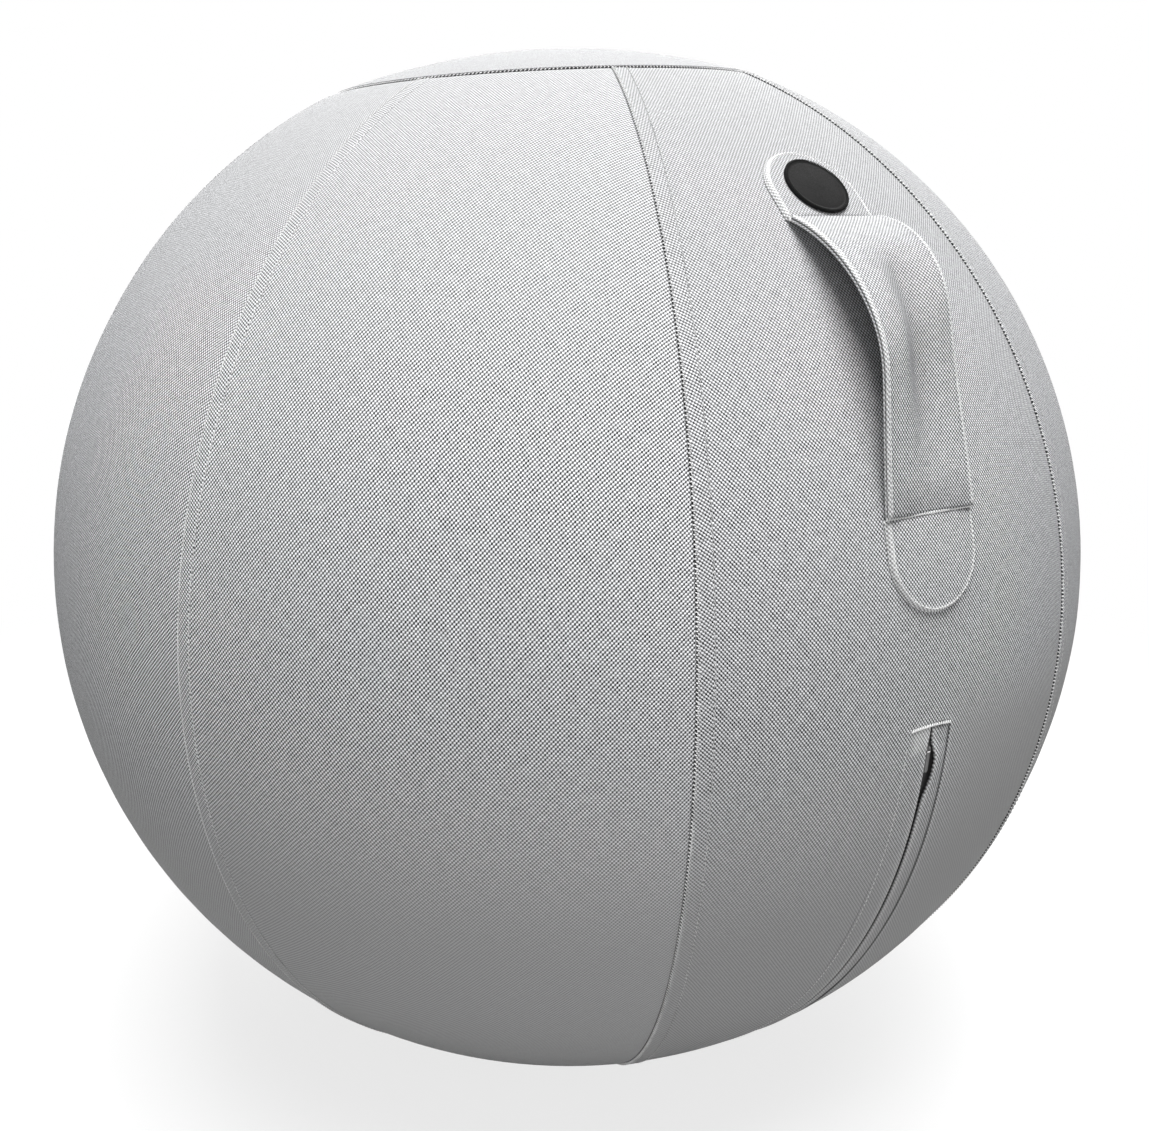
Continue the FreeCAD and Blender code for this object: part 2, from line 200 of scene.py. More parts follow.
def joint_place(name: str) -> tuple[float, ...]:
    """Place of one of the frame's joints, in metres."""
    return tuple(next(joint["pos_m"] for joint in frame["joints"] if joint["name"] == name))


@dataclass(frozen=True)
class BallForm:
    """Form of the blown-up cover, in metres and degrees.

    A row of WAVES holds a wave's numbers per metre along the axes and its phase. Pairs of rows cross.
    """

    centre: tuple[float, float, float]
    radius: float = 0.325
    panel_count: int = 8
    cap_seam_radius: float = 0.1296
    crown_rise: float = 0.021
    front_azimuth: float = -90.0
    ripple: float = 0.00025
    cap_lean: float = 2.8
    cap_lean_azimuth: float = 150.0
    lean_from: float = 15.0
    lean_to: float = 58.0

    WAVES = np.array([
        [31.0, 0.0, 17.0, 1.3], [0.0, 27.0, -21.0, 0.4], [41.0, 53.0, 0.0, -0.7], [13.0, 0.0, 47.0, 2.1],
    ])
    WAVE_SHARES = np.array([0.7, 0.3])

    @property
    def seam_latitude(self) -> float:
        """Latitude of the seam round the upper cap, where it lies level."""
        return math.degrees(math.acos(self.cap_seam_radius / self.radius))

    @property
    def panel_angle(self) -> float:
        """Degrees that one long panel takes."""
        return 360.0 / self.panel_count

    @property
    def degree(self) -> float:
        """Millimetres that one degree takes along a meridian."""
        return math.radians(1.0) * self.radius / MM

    def degrees(self, distance: Array) -> Array:
        """Degrees that a distance along the ball takes, in metres."""
        return np.degrees(distance / self.radius)

    def parallel(self, latitude: Array) -> Array:
        """Radii of the parallels at some latitudes, in millimetres."""
        return self.radius / MM * np.cos(np.radians(latitude))

    def from_cap(self, latitude: Array) -> Array:
        """Distances of some latitudes from the nearer cap's seam, in millimetres."""
        return (self.seam_latitude - np.abs(latitude)) * self.degree

    def outward(self, points: Array) -> Array:
        """Unit vectors from the ball's centre through some points."""
        return unit(points - np.array(self.centre))

    def seam_at(self, azimuth: Array) -> Array:
        """Latitudes of the upper cap's seam, which leans a little as the cover sits on the ball.

        Args:
            azimuth: azimuths round the ball.

        Returns:
            The latitudes there.
        """
        lean = math.radians(self.cap_lean)
        aside = math.sin(lean) * np.cos(np.radians(azimuth - self.cap_lean_azimuth))
        level = math.sin(math.radians(self.seam_latitude)) / np.hypot(aside, math.cos(lean))
        return np.degrees(np.arcsin(level) - np.arctan2(aside, math.cos(lean)))

    def fitted(self, azimuth: Array, latitude: Array) -> Array:
        """Latitudes of the panels' cloth where the leaning cap draws it along."""
        share = smooth(self.lean_from, self.lean_to, latitude)
        return latitude + share * (self.seam_at(azimuth) - self.seam_latitude)

    def leaned(self, points: Array) -> Array:
        """Turns points of the upper cap about the ball's centre as it leans.

        Args:
            points: points of the level cap.

        Returns:
            The turned points.
        """
        towards = math.radians(self.cap_lean_azimuth)
        axis = Vector((-math.sin(towards), math.cos(towards), 0.0))
        turn = np.array(Matrix.Rotation(math.radians(self.cap_lean), 3, axis))
        centre = np.array(self.centre)
        return centre + (points - centre) @ turn.T

    def direction(self, azimuth: Array, latitude: Array) -> Array:
        """Unit vectors from the ball's centre to some places on it.

        Args:
            azimuth: azimuths of the places.
            latitude: latitudes of the places.

        Returns:
            The vectors.
        """
        turn, rise = np.radians(azimuth), np.radians(latitude)
        parts = [np.cos(rise) * np.cos(turn), np.cos(rise) * np.sin(turn), np.sin(rise)]
        return np.stack(np.broadcast_arrays(*parts), axis=-1)

    def at(self, azimuth: Array, latitude: Array, height: Array) -> Array:
        """Points at a height above the ball's round face, in metres."""
        reach = np.asarray(self.radius + height)[..., None]
        return np.array(self.centre) + reach * self.direction(azimuth, latitude)

    def in_front(self, across: Array, latitude: Array, reach: Array) -> Array:
        """Points across from the front meridian's plane, at distances from its level axis, in metres."""
        parts = [across, -reach * np.cos(np.radians(latitude)), reach * np.sin(np.radians(latitude))]
        return np.array(self.centre) + np.stack(parts, axis=-1)

    def beside_front(self, across: Array, latitude: Array, height: Array) -> Array:
        """Points beside the front meridian's plane at a height above the ball's round face, in metres."""
        across, latitude, height = np.broadcast_arrays(across, latitude, height)
        return self.in_front(across, latitude, np.sqrt((self.radius + height) ** 2 - across ** 2))

    def ripples(self, points: Array) -> Array:
        """Slight unevenness of the stretched cloth at some points, in metres."""
        waves = np.sin((points - np.array(self.centre)) @ self.WAVES[:, :3].T + self.WAVES[:, 3])
        return self.ripple * (waves[..., ::2] * waves[..., 1::2]) @ self.WAVE_SHARES


@dataclass
class ClothGrid:
    """Grid of cloth with its rows upward and its columns to the right, as seen from outside.

    Attributes:
        points: outer face, rows by columns by 3, in metres.
        cloth: place of each point in the flat cloth, rows by columns by 2, in millimetres.
        crease: painted shade of each point, darkest in seams, rows by columns.
        worn: lightening of each point by wear and painted highlight, rows by columns.
        thickness: thickness at each point, in metres.
        kept: which quads between the points are cloth, or None for all.
        ring: True if the last column joins the first.
        pole: row that closes to one face, or None.
    """

    points: Array
    cloth: Array
    crease: Array
    worn: Array
    thickness: Array
    kept: Array | None = None
    ring: bool = False
    pole: int | None = None

    def flipped(self) -> "ClothGrid":
        """Turns the order of a whole grid's rows round, so that a pole in its last row comes first."""
        parts = [part[::-1] for part in (self.points, self.cloth, self.crease, self.worn, self.thickness)]
        return ClothGrid(*parts, ring=self.ring, pole=None if self.pole is None else 0)

    def normals(self) -> Array:
        """Finds which way the cloth faces.

        Returns:
            Outward unit vectors at the points.
        """
        if self.ring:
            across = np.roll(self.points, -1, axis=1) - np.roll(self.points, 1, axis=1)
        else:
            across = np.gradient(self.points, axis=1)
        return unit(np.cross(across, np.gradient(self.points, axis=0)))

    def faces(self) -> Faces:
        """Joins the points to a closed shell: outside, inside and the walls along every edge.

        Returns:
            The corners of each face. The inside's points are counted after the outside's.
        """
        rows, columns = self.points.shape[:2]
        count = rows * columns
        index = np.arange(count).reshape(rows, columns)
        left = index if self.ring else index[:, :-1]
        right = np.roll(index, -1, axis=1) if self.ring else index[:, 1:]
        quads = np.stack([left[:-1], right[:-1], right[1:], left[1:]], axis=-1)
        kept = np.ones(quads.shape[:2], bool) if self.kept is None else self.kept
        around = np.pad(kept, 1)
        if self.ring:
            around[1:-1, 0], around[1:-1, -1] = kept[:, -1], kept[:, 0]
        found = [quads[kept], quads[kept][:, ::-1] + count]
        beside = [around[:-2, 1:-1], around[1:-1, 2:], around[2:, 1:-1], around[1:-1, :-2]]
        closed = [self.pole == 0, False, self.pole == rows - 1, False]
        for edge, (neighbour, is_pole) in enumerate(zip(beside, closed)):
            if not is_pole:
                start = quads[kept & ~neighbour][:, edge]
                end = quads[kept & ~neighbour][:, (edge + 1) % 4]
                found.append(np.stack([end, start, start + count, end + count], axis=-1))
        faces = np.concatenate(found).tolist()
        if self.pole is not None:
            loop = index[self.pole].tolist()
            outward = loop if self.pole else loop[::-1]
            faces += [outward, [corner + count for corner in reversed(outward)]]
        return faces

    def build(self, name: str, seed: float) -> Piece:
        """Makes the closed shell as an object.

        Args:
            name: name of the piece.
            seed: number that sets this piece's weave apart from the others.

        Returns:
            The new object.
        """
        inner = self.points - self.normals() * self.thickness[..., None]
        both = [np.concatenate([part.reshape(-1, *part.shape[2:])] * 2)
                for part in (self.cloth, self.crease, self.worn)]
        points = np.concatenate([self.points.reshape(-1, 3), inner.reshape(-1, 3)])
        return make_piece(name, points, self.faces(), *both, seed)


def make_piece(name: str, points: Array, faces: Faces, cloth: Array | None = None,
               crease: Array | None = None, worn: Array | None = None, seed: float = 0.0) -> Piece:
    """Makes a smooth mesh object from points and faces, without the points that no face uses.

    Args:
        name: name of the piece.
        points: points in the frame, in metres.
        faces: corners of each face, outward.
        cloth: place of each point in the flat cloth, in millimetres.
        crease: painted shade of each point, darkest in seams.
        worn: lightening of each point by wear and painted highlight.
        seed: third coordinate of the place in the cloth.

    Returns:
        The new object.
    """
    used = np.unique(np.concatenate(faces))
    new_index = np.full(len(points), -1)
    new_index[used] = np.arange(len(used))
    mesh = bpy.data.meshes.new(name)
    mesh.from_pydata(points[used].tolist(), [], [new_index[face].tolist() for face in faces])
    mesh.polygons.foreach_set("use_smooth", np.ones(len(mesh.polygons), bool))
    if cloth is not None:
        flat = np.column_stack([cloth[used], np.full(len(used), seed)])
        stored = mesh.attributes.new("cloth", "FLOAT_VECTOR", "POINT")
        stored.data.foreach_set("vector", flat.astype(np.float32).ravel())
    for label, values in (("crease", crease), ("worn", worn)):
        if values is not None:
            stored = mesh.attributes.new(label, "FLOAT", "POINT")
            stored.data.foreach_set("value", values[used].astype(np.float32))
    mesh.update()
    piece = bpy.data.objects.new(name, mesh)
    bpy.context.scene.collection.objects.link(piece)
    return piece


def swept_piece(name: str, rings: Array, cloth: Array, crease: Array, worn: Array, seed: float) -> Piece:
    """Makes a closed band from rings of points.

    Args:
        name: name of the piece.
        rings: rows upward by points round the section by 3, outer face first from left to right.
        cloth: place of each point in the flat cloth, in millimetres.
        crease: painted shade of each point, darkest in seams.
        worn: lightening of each point by wear and painted highlight.
        seed: number that sets this piece's weave apart from the others.

    Returns:
        The new object.
    """
    rows, around = rings.shape[:2]
    index = np.arange(rows * around).reshape(rows, around)
    beside = np.roll(index, -1, axis=1)
    quads = np.stack([index[:-1], beside[:-1], beside[1:], index[1:]], axis=-1).reshape(-1, 4)
    faces = [*quads.tolist(), index[-1].tolist(), index[0, ::-1].tolist()]
    flat = [part.reshape(-1, *part.shape[2:]) for part in (rings, cloth, crease, worn)]
    return make_piece(name, flat[0], faces, *flat[1:], seed)


@dataclass(frozen=True)
class Thread:
    """Sewing thread and the stitches made with it, in metres.

    The constants give the rings along a stitch, as shares of its half length and of the thread's
    radius, how far its ends are tucked in, and how far the stitches of a row differ.
    """

    radius: float = 0.00026
    pitch: float = 0.0034
    share: float = 0.78
    arch: float = 0.0002
    slant: float = 0.0
    seed: int = 7

    SIDES = 6
    RING_PLACES = np.array([-1.0, -0.72, 0.0, 0.72, 1.0])
    RING_GIRTHS = np.array([0.45, 0.95, 1.0, 0.95, 0.45])
    TUCK = 0.7
    SWAY = 0.16
    LENGTH_CHANGE = (0.92, 1.06)

    def stitches(self, name: str, lines: list[Line]) -> Piece:
        """Makes rows of stitches along lines on the cloth.

        Args:
            name: name of the piece.
            lines: for each row, its points and the outward vectors there.

        Returns:
            One object with every stitch of the rows.
        """
        found = []
        for points, normals in lines:
            length = length_along(points)
            count = max(1, round(length[-1] / self.pitch))
            places = (np.arange(count) + 0.5) * length[-1] / count
            parts = (points, np.gradient(points, length, axis=0), normals)
            found.append([np.column_stack([np.interp(places, length, axis) for axis in part.T])
                          for part in parts])
        middles, alongs, outs = (np.concatenate(part) for part in zip(*found))
        lengths = np.full(len(middles), self.pitch * self.share)
        return self.laid(name, middles, unit(alongs), unit(outs), lengths)

    def laid(self, name: str, middles: Array, alongs: Array, outs: Array, lengths: Array) -> Piece:
        """Makes single stitches at given places.

        Args:
            name: name of the piece.
            middles: middle of each stitch on the cloth.
            alongs: unit vector along each stitch.
            outs: outward unit vector at each stitch.
            lengths: length of each stitch, in metres.

        Returns:
            One object with all the stitches.
        """
        draw = np.random.default_rng(self.seed)
        sway = draw.uniform(-self.SWAY, self.SWAY, len(middles))
        lengths = lengths * draw.uniform(*self.LENGTH_CHANGE, len(middles))
        alongs = unit(alongs + (self.slant + sway)[:, None] * np.cross(alongs, outs))
        asides = np.cross(alongs, outs)
        shares, girths, angles = self.RING_PLACES, self.RING_GIRTHS * self.radius, full_turn(self.SIDES)
        lift = self.arch * (1.0 - shares ** 2) - self.TUCK * self.radius * np.abs(shares) ** 3
        run = alongs[:, None] * (shares * lengths[:, None] / 2.0)[..., None]
        rise = outs[:, None] * lift[None, :, None]
        centres = (middles[:, None] + run + rise)[:, :, None]
        outward = outs[:, None, None] * (girths[:, None] * np.sin(angles))[None, ..., None]
        sideways = asides[:, None, None] * (girths[:, None] * np.cos(angles))[None, ..., None]
        points = centres + outward + sideways
        index = np.arange(points[..., 0].size).reshape(points.shape[:3])
        beside = np.roll(index, -1, axis=2)
        quads = np.stack([index[:, :-1], index[:, 1:], beside[:, 1:], beside[:, :-1]], axis=-1)
        faces = [*quads.reshape(-1, 4).tolist(), *index[:, 0].tolist(), *index[:, -1, ::-1].tolist()]
        return make_piece(name, points.reshape(-1, 3), faces)


def give(piece: Piece, material: Material) -> None:
    """Puts one material on a piece."""
    piece.data.materials.clear()
    piece.data.materials.append(material)


def dress(piece: Piece, material: Material, slot: Slot | None = None, *nodes: str) -> Piece:
    """Gives a new piece its material, hides and names the frame nodes that it stands for, and reports it.

    Args:
        piece: the new piece.
        material: its material.
        slot: the record's finish, or None for thread; not used.
        nodes: frame nodes that the piece stands for.

    Returns:
        The same piece.
    """
    give(piece, material)
    if nodes:
        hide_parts(*nodes)
    log.info("%s: %d points, stands for %s", piece.name, len(piece.data.vertices), nodes or "itself")
    return piece


def place(piece: Piece, body: Body, material: Material, slot: Slot | None = None, *nodes: str) -> Piece:
    """Rides a new piece on a body and dresses it."""
    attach(piece, body.value)
    return dress(piece, material, slot, *nodes)


def finish_node(node: str, material: Material) -> None:
    """Gives a piece of the frame its material and reports it."""
    give(frame["nodes"][node], material)
    log.info("%s: piece of the frame", node)


class Mixed(Enum):
    """What a mix node mixes: Blender's word for it, the first of its two inputs, and its output."""

    COLOURS = ("RGBA", 6, 2)
    VALUES = ("FLOAT", 2, 0)


class Graph:
    """Short way to add and join the nodes of one tree."""

    def __init__(self, tree: bpy.types.NodeTree) -> None:
        """Empties the tree and keeps it."""
        self.tree = tree
        tree.nodes.clear()

    def feed(self, socket: Socket, value: Value | tuple) -> None:
        """Joins a socket to an output, or sets it to a plain value.

        Args:
            socket: input of a node.
            value: output of another node, or the plain value.
        """
        if isinstance(value, Socket):
            self.tree.links.new(value, socket)
        else:
            socket.default_value = value

    def node(self, kind: str, *inputs: Value | tuple, **settings: object) -> Node:
        """Adds a node.

        Args:
            kind: Blender's word for its kind.
            inputs: values or outputs for its first inputs, in their order.
            settings: some of its settings by name.

        Returns:
            The new node.
        """
        made = self.tree.nodes.new(kind)
        for name, value in settings.items():
            setattr(made, name, value)
        for socket, value in zip(made.inputs, inputs):
            self.feed(socket, value)
        return made

    def fill(self, node: Node, **inputs: Value | tuple) -> Node:
        """Feeds inputs of a node by their names, with _ for a space, and gives the node back."""
        for label, value in inputs.items():
            self.feed(node.inputs[label.replace("_", " ")], value)
        return node

    def math(self, operation: str, *values: Value) -> Socket:
        """Adds an operation on one, two or three values."""
        return self.node("ShaderNodeMath", *values, operation=operation).outputs[0]

    def vector_math(self, operation: str, *values: Value | tuple) -> Socket:
        """Adds an operation on two or three vectors."""
        return self.node("ShaderNodeVectorMath", *values, operation=operation).outputs[0]

    def step(self, value: Value, low: float, high: float, start: float = 0.0, stop: float = 1.0) -> Socket:
        """Maps a value from low to high softly onto start to stop."""
        limits = (low, high, start, stop)
        return self.node("ShaderNodeMapRange", value, *limits, interpolation_type="SMOOTHSTEP").outputs[0]

    def noise(self, vector: Socket, scale: Value, detail: float = 2.0) -> bpy.types.bpy_prop_collection:
        """Adds soft noise over a vector: its value first, and its Color."""
        made = self.node("ShaderNodeTexNoise")
        return self.fill(made, Vector=vector, Scale=scale, Detail=detail).outputs

    def mix(self, factor: Value, first: Value | tuple, second: Value | tuple, blend: str = "MIX",
            kind: Mixed = Mixed.COLOURS) -> Socket:
        """Mixes two colours or values.

        Args:
            factor: share of the second one.
            first: the first one.
            second: the second one.
            blend: Blender's word for the way they mix.
            kind: whether they are colours or values.

        Returns:
            The mixed colour or value.
        """
        data_type, start, result = kind.value
        made = self.node("ShaderNodeMix", factor, data_type=data_type, blend_type=blend)
        self.feed(made.inputs[start], first)
        self.feed(made.inputs[start + 1], second)
        return made.outputs[result]

    def grey(self, value: Value) -> Socket:
        """Turns a value into a grey colour."""
        return self.node("ShaderNodeCombineColor", value, value, value).outputs[0]

    def bump(self, height: Value, distance: float, strength: Value) -> Socket:
        """Turns heights into normals."""
        made = self.node("ShaderNodeBump")
        return self.fill(made, Height=height, Distance=distance, Strength=strength).outputs["Normal"]

    def place(self) -> Socket:
        """Place of the shaded point in the frame."""
        return self.node("ShaderNodeTexCoord").outputs["Object"]


class Effect:
    """Shader node group with named inputs and outputs, built once and used by several finishes."""

    def __init__(self, name: str, inputs: dict[str, float | None], outputs: tuple[str, ...]) -> None:
        """Makes the empty group.

        Args:
            name: name of the group.
            inputs: each input's usual value, or None for a vector.
            outputs: names of the values that it puts out.
        """
        self.group = bpy.data.node_groups.new(name, "ShaderNodeTree")
        for label, value in inputs.items():
            kind = "NodeSocketVector" if value is None else "NodeSocketFloat"
            made = self.group.interface.new_socket(label, in_out="INPUT", socket_type=kind)
            if value is not None:
                made.default_value = value
        for label in outputs:
            self.group.interface.new_socket(label, in_out="OUTPUT", socket_type="NodeSocketFloat")
        self.graph = Graph(self.group)
        self.given = self.graph.node("NodeGroupInput").outputs
        self.result = self.graph.node("NodeGroupOutput")

    def placed(self, graph: Graph, **inputs: Value) -> dict[str, Socket]:
        """Places the group in a material, fed by name with _ for a space, and gives its outputs."""
        made = graph.fill(graph.node("ShaderNodeGroup", node_tree=self.group), **inputs)
        return {socket.name: socket for socket in made.outputs}


def plain_weave() -> Effect:
    """Makes the effect of a plain weave of light yarn over dark.

    Returns:
        A group that puts out where the light yarn lies on top, the yarns' height, their flecks and rows.
    """
    drift_scale, hair_scale = 0.11, 3.4
    along_yarn, across_yarn = 0.16, 0.95
    fleck_of_yarn, fleck_of_hair, hair_height = 0.7, 0.3, 0.25
    light_edge, fleck_edge, row_edge = (-0.34, 0.27), (0.32, 0.68), (0.0, 0.8)
    inputs = {"Cloth": None, "Cell Width": 1.0, "Cell Height": 1.0, "Wander": 0.1, "Lean": 0.0}
    effect = Effect("plain_weave", inputs, ("Light Yarn", "Height", "Fleck", "Row"))
    graph, cloth, given = effect.graph, effect.given["Cloth"], effect.given
    drift = graph.noise(cloth, drift_scale, detail=1.0)["Color"]
    centred = graph.vector_math("SUBTRACT", drift, (0.5, 0.5, 0.5))
    spread = graph.node("ShaderNodeCombineXYZ", given["Wander"], given["Wander"]).outputs[0]
    moved = graph.vector_math("MULTIPLY_ADD", centred, spread, cloth)
    axes = graph.node("ShaderNodeSeparateXYZ", moved).outputs
    waves, partners = [], []
    for axis, cell in ((axes[0], "Cell Width"), (axes[1], "Cell Height")):
        turns = graph.math("MULTIPLY", graph.math("DIVIDE", axis, given[cell]), math.pi)
        waves.append(graph.math("SINE", turns))
        partners.append(graph.math("COSINE", turns))
    slanted = graph.math("MULTIPLY", graph.math("MULTIPLY", *partners), given["Lean"])
    crossing = graph.math("ADD", graph.math("MULTIPLY", *waves), slanted)
    light = graph.step(crossing, *light_edge)
    weft = graph.noise(graph.vector_math("MULTIPLY", cloth, (along_yarn, across_yarn, 1.0)), 1.0)[0]
    warp = graph.noise(graph.vector_math("MULTIPLY", cloth, (across_yarn, along_yarn, 1.0)), 1.0)[0]
    hair = graph.noise(cloth, hair_scale)[0]
    yarn = graph.mix(light, warp, weft, kind=Mixed.VALUES)
    fleck = graph.math("ADD", graph.math("MULTIPLY", yarn, fleck_of_yarn),
                       graph.math("MULTIPLY", hair, fleck_of_hair))
    crown = graph.math("SQRT", graph.math("ABSOLUTE", crossing))
    height = graph.math("ADD", crown, graph.math("MULTIPLY", hair, hair_height))
    row = graph.step(graph.math("ABSOLUTE", waves[1]), *row_edge)
    graph.fill(effect.result, Light_Yarn=light, Height=height, Fleck=graph.step(fleck, *fleck_edge), Row=row)
    return effect


def fine_grain() -> Effect:
    """Makes the effect of a moulded or drawn surface.

    Returns:
        A group that puts out a slow change of tone, the grain's height and the places that rubbing has
        marked.
    """
    slow_scale, mark_scale, mark_edge = 60.0, 240.0, (0.52, 0.72)
    effect = Effect("fine_grain", {"Place": None, "Scale": 900.0}, ("Tone", "Height", "Rubbed"))
    graph, given = effect.graph, effect.given
    slow = graph.noise(given["Place"], slow_scale, detail=3.0)[0]
    fine = graph.noise(given["Place"], given["Scale"], detail=3.0)[0]
    marks = graph.noise(given["Place"], mark_scale, detail=4.0)[0]
    graph.fill(effect.result, Tone=slow, Height=fine, Rubbed=graph.step(marks, *mark_edge))
    return effect


def grey_colour(tone: float) -> tuple[float, float, float, float]:
    """A plain grey colour."""
    return tone, tone, tone, 1.0


@dataclass(frozen=True)
class WovenFinish:
    """Melange cloth in plain weave, opened by stretch round the ball's middle and closed above and below.

    Cells are in millimetres, tones are linear, and the places of the opening are in metres. The pairs
    of rubbed and roughness are for dark yarn and for light yarn; rubbed is how far wear and painted
    highlight lighten each yarn.
    """

    name: str
    light: float = 0.89
    light_fleck: float = -0.2
    dark: float = 0.055
    dark_flecks: Span = (-0.04, 0.1)
    even: float = 0.325
    cast: tuple[float, float, float, float] = (0.985, 0.995, 1.02, 1.0)
    row_gap: float = 0.45
    cell_width: float = 0.955
    cell_height: float = 1.12
    wander: float = 0.32
    lean: float = -0.18
    # Strength of the painted shade that darkens the colour in seams and hollows.
    crease_shade: float = 0.85
    rubbed: Span = (0.3, 0.75)
    roughness: Span = (0.96, 0.82)
    shine: float = 0.1
    relief: float = 0.00022
    relief_strength: float = 0.6
    open_from: Span = (0.19, 0.33)
    closed_below: float = 0.2
    open_to: Span = (0.42, 0.64)
    closed_above: float = 0.5
    drawn_from: Span = (0.0, 0.045)
    drawn_below: Span = (0.26, 0.34)
    drawn_before: Span = (-0.2, -0.06)
    drawn: float = 0.3

    def opened(self, graph: Graph) -> Socket:
        """Adds the share by which stretch has opened the weave.

        Args:
            graph: the material's nodes.

        Returns:
            The share, from 0 to 1.
        """
        right, behind, up = graph.node("ShaderNodeSeparateXYZ", graph.place()).outputs
        by_height = graph.math("MULTIPLY", graph.step(up, *self.open_from, self.closed_below, 1.0),
                               graph.step(up, *self.open_to, 1.0, self.closed_above))
        away_from_zip = graph.math("MAXIMUM", graph.step(behind, *self.drawn_before),
                                   graph.step(up, *self.drawn_below))
        beside_zip = graph.step(right, *self.drawn_from, 1.0, self.drawn)
        return graph.math("MULTIPLY", by_height, graph.math("MAXIMUM", beside_zip, away_from_zip))

    def build(self, weave: Effect) -> Material:
        """Makes the material.

        Args:
            weave: the plain weave effect.

        Returns:
            The new material.
        """
        material, graph, shader = new_material(self.name)
        cloth, crease, worn = (graph.node("ShaderNodeAttribute", attribute_name=label).outputs
                               for label in ("cloth", "crease", "worn"))
        made = weave.placed(graph, Cloth=cloth["Vector"], Cell_Width=self.cell_width,
                            Cell_Height=self.cell_height, Wander=self.wander, Lean=self.lean)
        opened = self.opened(graph)
        light, fleck = made["Light Yarn"], made["Fleck"]
        light_tone = graph.step(fleck, 0.0, 1.0, self.light + self.light_fleck, self.light)
        dark_tone = graph.step(fleck, 0.0, 1.0, *(self.dark + change for change in self.dark_flecks))
        yarns = graph.mix(light, graph.grey(dark_tone), graph.grey(light_tone))
        yarns = graph.mix(1.0, yarns, self.cast, "MULTIPLY")
        gaps = graph.grey(graph.step(made["Row"], 0.0, 1.0, 1.0 - self.row_gap, 1.0))
        woven = graph.mix(opened, grey_colour(self.even), graph.mix(1.0, yarns, gaps, "MULTIPLY"))
        # Painted shade: darkens the colour where the mesh marks seams, hollows, the strap's bars and its
        # dent's flank.
        painted_darkening = graph.math("SUBTRACT", 1.0, graph.math("MULTIPLY", crease["Fac"], self.crease_shade))
        shaded = graph.mix(1.0, woven, graph.grey(painted_darkening), "MULTIPLY")
        # Wear and painted highlight: lightens the yarn toward the light tone on folds, rims and patches.
        rubbed = graph.math("MULTIPLY", worn["Fac"], graph.step(light, 0.0, 1.0, *self.rubbed))
        strength = graph.math("MULTIPLY", opened, self.relief_strength)
        graph.fill(
            shader,
            Base_Color=graph.mix(rubbed, shaded, grey_colour(self.light)),
            Roughness=graph.step(light, 0.0, 1.0, *self.roughness),
            Normal=graph.bump(made["Height"], self.relief, strength),
            Specular_IOR_Level=self.shine,
        )
        return material


@dataclass(frozen=True)
class GrainFinish:
    """Moulded, drawn or spun surface with one tone."""

    name: str
    tone: float
    change: float = 0.08
    roughness: float = 0.5
    scale: float = 900.0
    relief: float = 0.00005
    metallic: float = 0.0
    shine: float = 0.5

    NOISE_RANGE = (0.3, 0.7)
    ROUGHNESS_CHANGE = 0.08
    RELIEF_STRENGTH = 0.5

    def build(self, grain: Effect) -> Material:
        """Makes the material.

        Args:
            grain: the fine grain effect.

        Returns:
            The new material.
        """
        material, graph, shader = new_material(self.name)
        made = grain.placed(graph, Place=graph.place(), Scale=self.scale)
        low, high = self.tone * (1.0 - self.change), self.tone * (1.0 + self.change)
        tone = graph.step(made["Tone"], *self.NOISE_RANGE, low, high)
        bright = graph.math("MULTIPLY_ADD", made["Rubbed"], self.tone * self.change, tone)
        smoothest, roughest = self.roughness - self.ROUGHNESS_CHANGE, self.roughness + self.ROUGHNESS_CHANGE
        graph.fill(
            shader,
            Base_Color=graph.grey(bright),
            Roughness=graph.step(made["Height"], *self.NOISE_RANGE, smoothest, roughest),
            Normal=graph.bump(made["Height"], self.relief, self.RELIEF_STRENGTH),
            Metallic=self.metallic,
            Specular_IOR_Level=self.shine,
        )
        return material


def new_material(name: str) -> tuple[Material, Graph, Node]:
    """Makes a material with one Principled shader.

    Args:
        name: name of the material.

    Returns:
        The material, its nodes and the shader.
    """
    material = bpy.data.materials.new(name)
    material.use_nodes = True
    graph = Graph(material.node_tree)
    shader = graph.node("ShaderNodeBsdfPrincipled")
    graph.fill(graph.node("ShaderNodeOutputMaterial"), Surface=shader.outputs[0])
    return material, graph, shader


class Finishes:
    """Every finish of the ball, made once."""

    def __init__(self) -> None:
        """Builds the shared effects and the materials."""
        weave, grain = plain_weave(), fine_grain()
        self.cover = WovenFinish("cover_weave").build(weave)
        # A lighter copy of the cover's finish for the mirrored panels: painted sheen that their turned weave
        # catches.
        self.mirrored = WovenFinish("mirrored_cover_weave", light=0.97, even=0.35, lean=-0.13).build(weave)
        self.strap = WovenFinish("strap_weave", light=0.91, cell_height=1.05).build(weave)
        spun = {"scale": 2600.0, "relief": 0.00012}
        self.thread = GrainFinish("sewing_thread", tone=0.82, change=0.1, roughness=0.7, **spun).build(grain)
        self.seam_thread = GrainFinish("seam_thread", tone=0.56, change=0.15, roughness=0.75,
                                       **spun).build(grain)
        self.badge = GrainFinish("badge_rubber", tone=0.006, change=0.3, roughness=0.6, scale=1500.0,
                                 relief=0.00008, shine=0.1).build(grain)
        self.tape = GrainFinish("zip_tape", tone=0.12, change=0.2, roughness=0.85, scale=1800.0,
                                relief=0.00012).build(grain)
        self.coil = GrainFinish("zip_coil", tone=0.10, change=0.15, roughness=0.45, scale=1200.0,
                                relief=0.00003).build(grain)
        self.metal = GrainFinish("zip_metal", tone=0.16, change=0.12, roughness=0.45, scale=1500.0,
                                 relief=0.00003, metallic=0.6).build(grain)
        self.vinyl = GrainFinish("bladder_vinyl", tone=0.32, change=0.06, roughness=0.4, scale=500.0,
                                 relief=0.00006).build(grain)
        self.plastic = GrainFinish("valve_plastic", tone=0.72, change=0.04, roughness=0.45, scale=900.0,
                                   relief=0.00004).build(grain)


